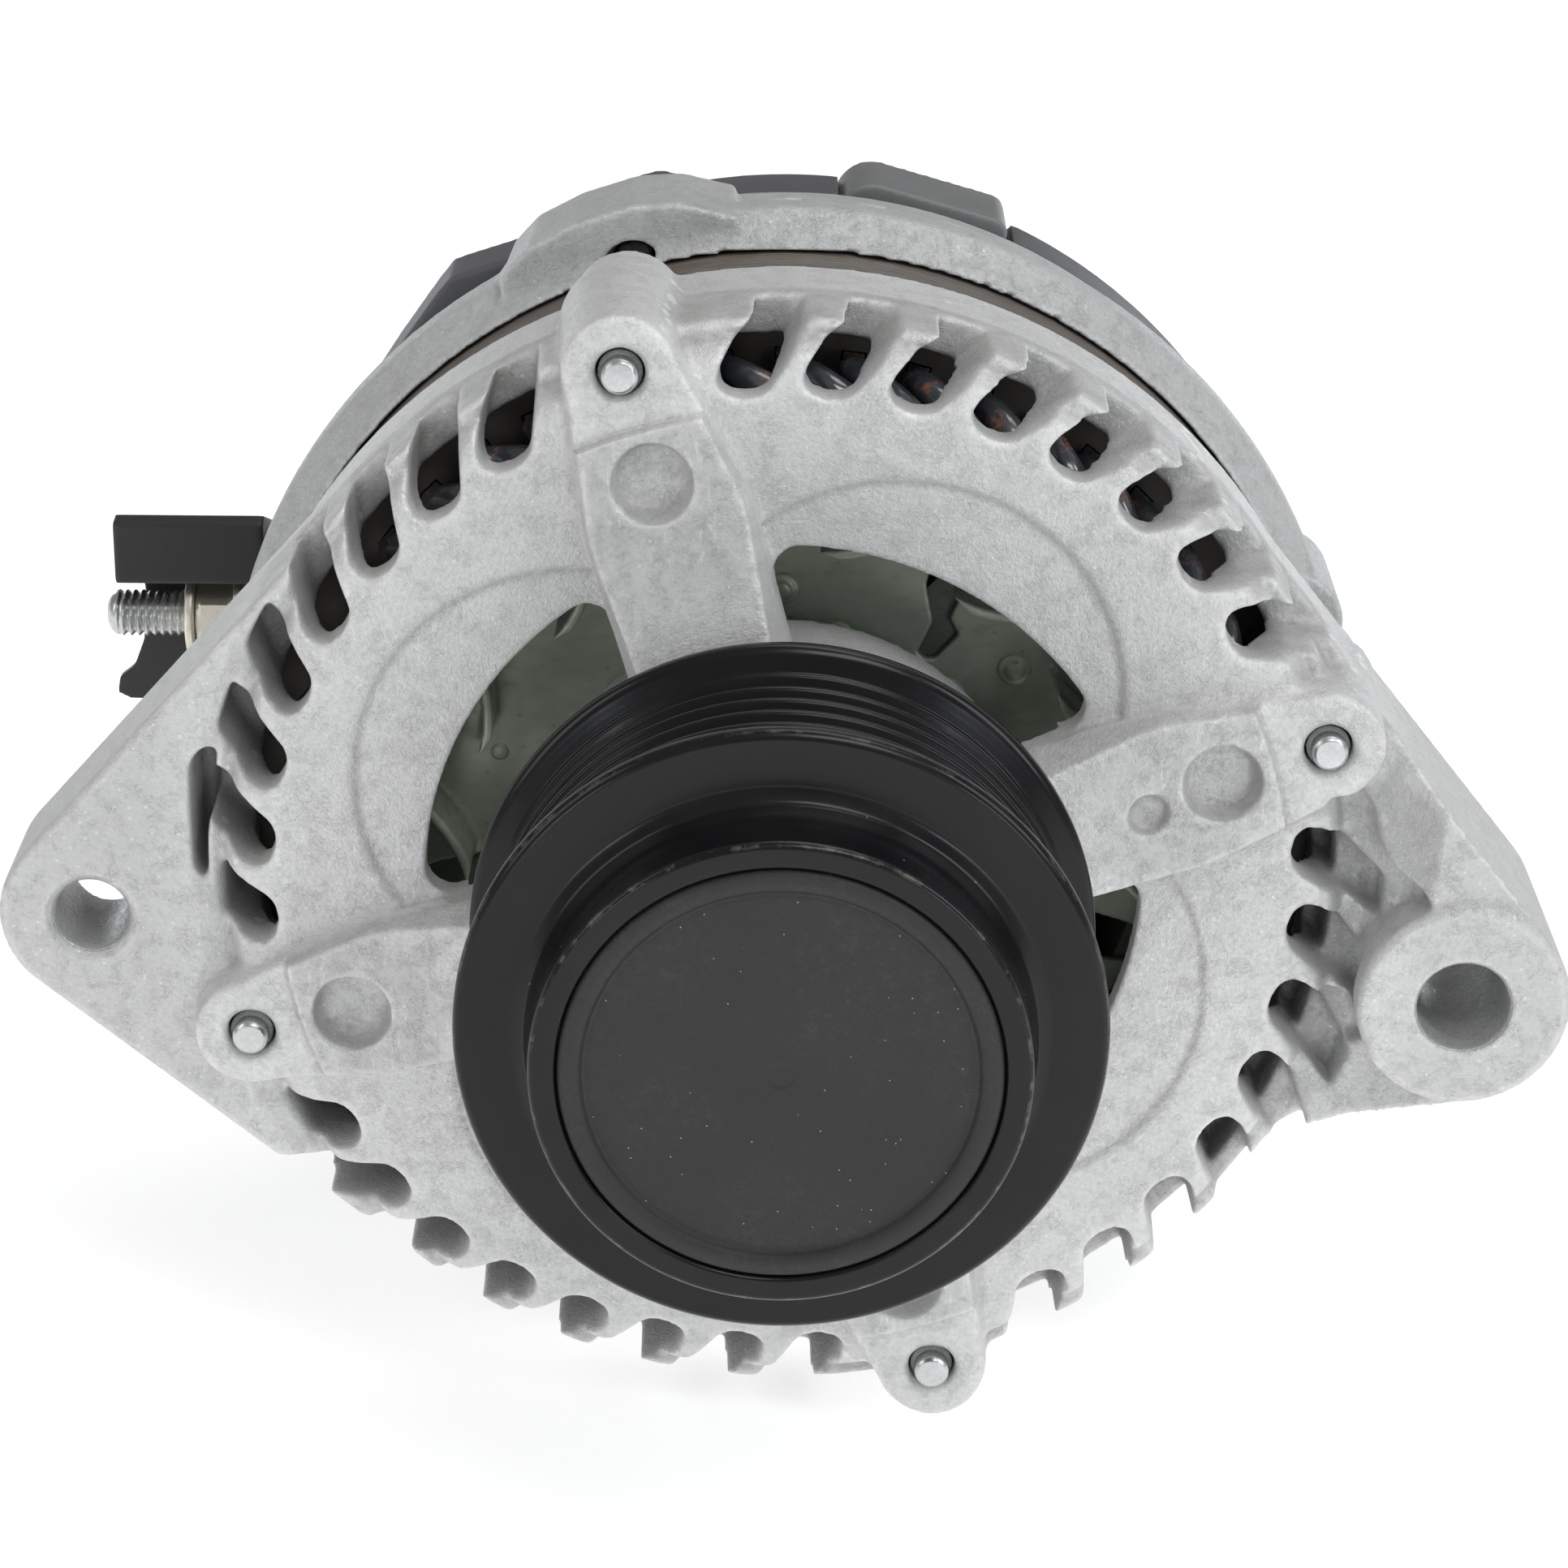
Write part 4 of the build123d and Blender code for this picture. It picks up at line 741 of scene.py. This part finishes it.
def boxed(low, high, round_mm):
    """Box with chamfered edges, as a shape."""
    work = bmesh.new()
    bmesh.ops.create_cube(work, size=1.0)
    for vert in work.verts:
        vert.co = Vector(a + (b - a) * (c + 0.5) for a, b, c in zip(low, high, vert.co))
    bmesh.ops.bevel(work, geom=work.edges[:], offset=round_mm, segments=2, affect="EDGES", profile=0.5)
    points = [tuple(vert.co) for vert in work.verts]
    faces = [tuple(vert.index for vert in face.verts) for face in work.faces]
    work.free()
    return points, faces


def cover_fasteners():
    """Studs and flanged nuts that hold the rear cover."""
    shapes = []
    thread = rows(2.36, 97.6, 109.9, 0.12)
    stud_line = [(0, 89.6), (1.97, 89.7), (1.97, 97.0), (2.36, 97.5)] + thread
    stud_line += rounded([(2.3, 110.0), (1.9, 110.4), (0, 110.4)], 0.1)
    stud = turned(stud_line, 32, threaded(0.8, 0.4, 97.4, 110.0), closed=False)
    flange_line = [(2.4, 104.5), (5.5, 104.5), (5.6, 104.8), (5.0, 105.5), (2.4, 105.5), (2.4, 104.5)]
    nut_line = [(2.4, 105.0), (5.0, 105.5), (5.0, 107.9), (4.2, 108.5), (2.4, 108.5), (2.4, 105.0)]
    flange = turned(rounded(flange_line, 0.1), 64)
    nut = turned(rounded(nut_line, 0.1), 72, hexagon(4.0))
    for angle in COVER_STUD_ANGLES:
        turn = math.radians(angle)
        x, z = COVER_STUD_R * math.cos(turn), COVER_STUD_R * math.sin(turn)
        shapes += [moved(shape, x, 0, z, turn) for shape in (stud, flange, nut)]
    built("cover_nuts_flanged", shapes, "cover_nuts")


# ---- windings and fans --------------------------------------------------------------------------
def hairpins(name, node, foot, rise, flare, thick, seed):
    """End turns of the stator: fat varnished loops, no two quite alike."""
    chance = random.Random(seed)
    data = bpy.data.curves.new(name, "CURVE")
    data.dimensions = "3D"
    data.bevel_depth = thick * MM
    data.bevel_resolution = 3
    data.resolution_u = 5
    data.use_fill_caps = True
    slots, inner, outer = 48, 50.3, 55.5
    route = ((0, 0), (0, 0.25), (0.06, 0.62), (0.30, 0.93), (0.62, 0.93), (0.94, 0.62), (1, 0.25), (1, 0))
    for i in range(slots):
        lift = 1 - chance.uniform(0.0, 0.07)
        sway = chance.uniform(-0.05, 0.05)
        spline = data.splines.new("NURBS")
        spline.points.add(len(route) - 1)
        for point, (turn, height) in zip(spline.points, route):
            angle = TAU / slots * (i + 2 * turn + sway * height)
            r = inner + (outer - inner) * turn + flare * turn * height
            y = foot + rise * height * lift
            point.co = (r * math.cos(angle) * MM, y * MM, r * math.sin(angle) * MM, 1)
        spline.order_u = 4
        spline.use_endpoint_u = True
    curve = object_from(name + "_route", data)
    graph = bpy.context.evaluated_depsgraph_get()
    mesh = bpy.data.meshes.new_from_object(curve.evaluated_get(graph))
    bpy.data.objects.remove(curve)
    for polygon in mesh.polygons:
        polygon.use_smooth = True
    return stand_for(object_from(name, mesh), node)


def dished_fan(node, outward, nubs):
    """Pressed fan: rounded sheet edges, a broad fold round the disc and raised rivets."""
    fan = softened(node, voxel_mm=0.33, rounds=2)
    for vert in fan.data.vertices:
        x, z = vert.co.x / MM, vert.co.z / MM
        r = math.hypot(x, z)
        fade = min(1, max(0, (r - 16) / 8)) * min(1, max(0, (43 - r) / 4))
        fold = 0.30 * math.sin(7 * math.atan2(z, x) + 0.6) + 0.22 * math.sin(r / 2.6)
        vert.co.y += outward * MM * fade * fold
    line = [(0, 0.75), (0.9, 0.62), (1.25, 0.2), (1.9, 0.12), (2.1, -0.6), (0, -0.6)]
    profile = rounded([(r, outward * y) for r, y in line], 0.3)
    shapes = [moved(turned(profile, 32), x, FAN_PLATE_Y, z) for x, z in nubs]
    built(node + "_rivets", shapes, node, angle=60, stands=False)


def brush_spring(side):
    """Coil behind a brush, with a fixed top: a smooth-shaded copy of the node with a mesh of its own."""
    node = side + "_brush_spring"
    spring = stand_for(object_from(node + "_coil", NODES[node].data.copy()), node)
    smooth(spring)
    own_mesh(spring)


def main():
    soften_fins(softened("front_housing", voxel_mm=0.40, rounds=2))
    softened("rear_housing", voxel_mm=0.55, rounds=4)
    softened("rear_cover", voxel_mm=0.5, rounds=5)
    dress(softened("terminal_shroud", voxel_mm=0.35, rounds=3), "guard_plastic")
    softened("voltage_regulator", voxel_mm=0.4, rounds=3)
    pulley()
    dust_cap()
    long_bolts()
    stud_and_nut()
    cover_fasteners()
    hairpins("stator_winding_front_loops", "stator_winding_front", foot=46.0, rise=-10.0, flare=3.6,
             thick=1.85, seed=3)
    hairpins("stator_winding_rear_loops", "stator_winding_rear", foot=74.0, rise=9.2, flare=1.5,
             thick=1.55, seed=4)
    dished_fan("front_fan", outward=-1, nubs=FAN_RIVETS)
    brush_spring("positive")
    brush_spring("negative")
    for name, obj in NODES.items():
        if not obj.hide_render:
            dress(obj, "field_winding" if name == "field_coil" else SLOT_OF[name])


make_camera()
make_studio()
make_floor()
main()
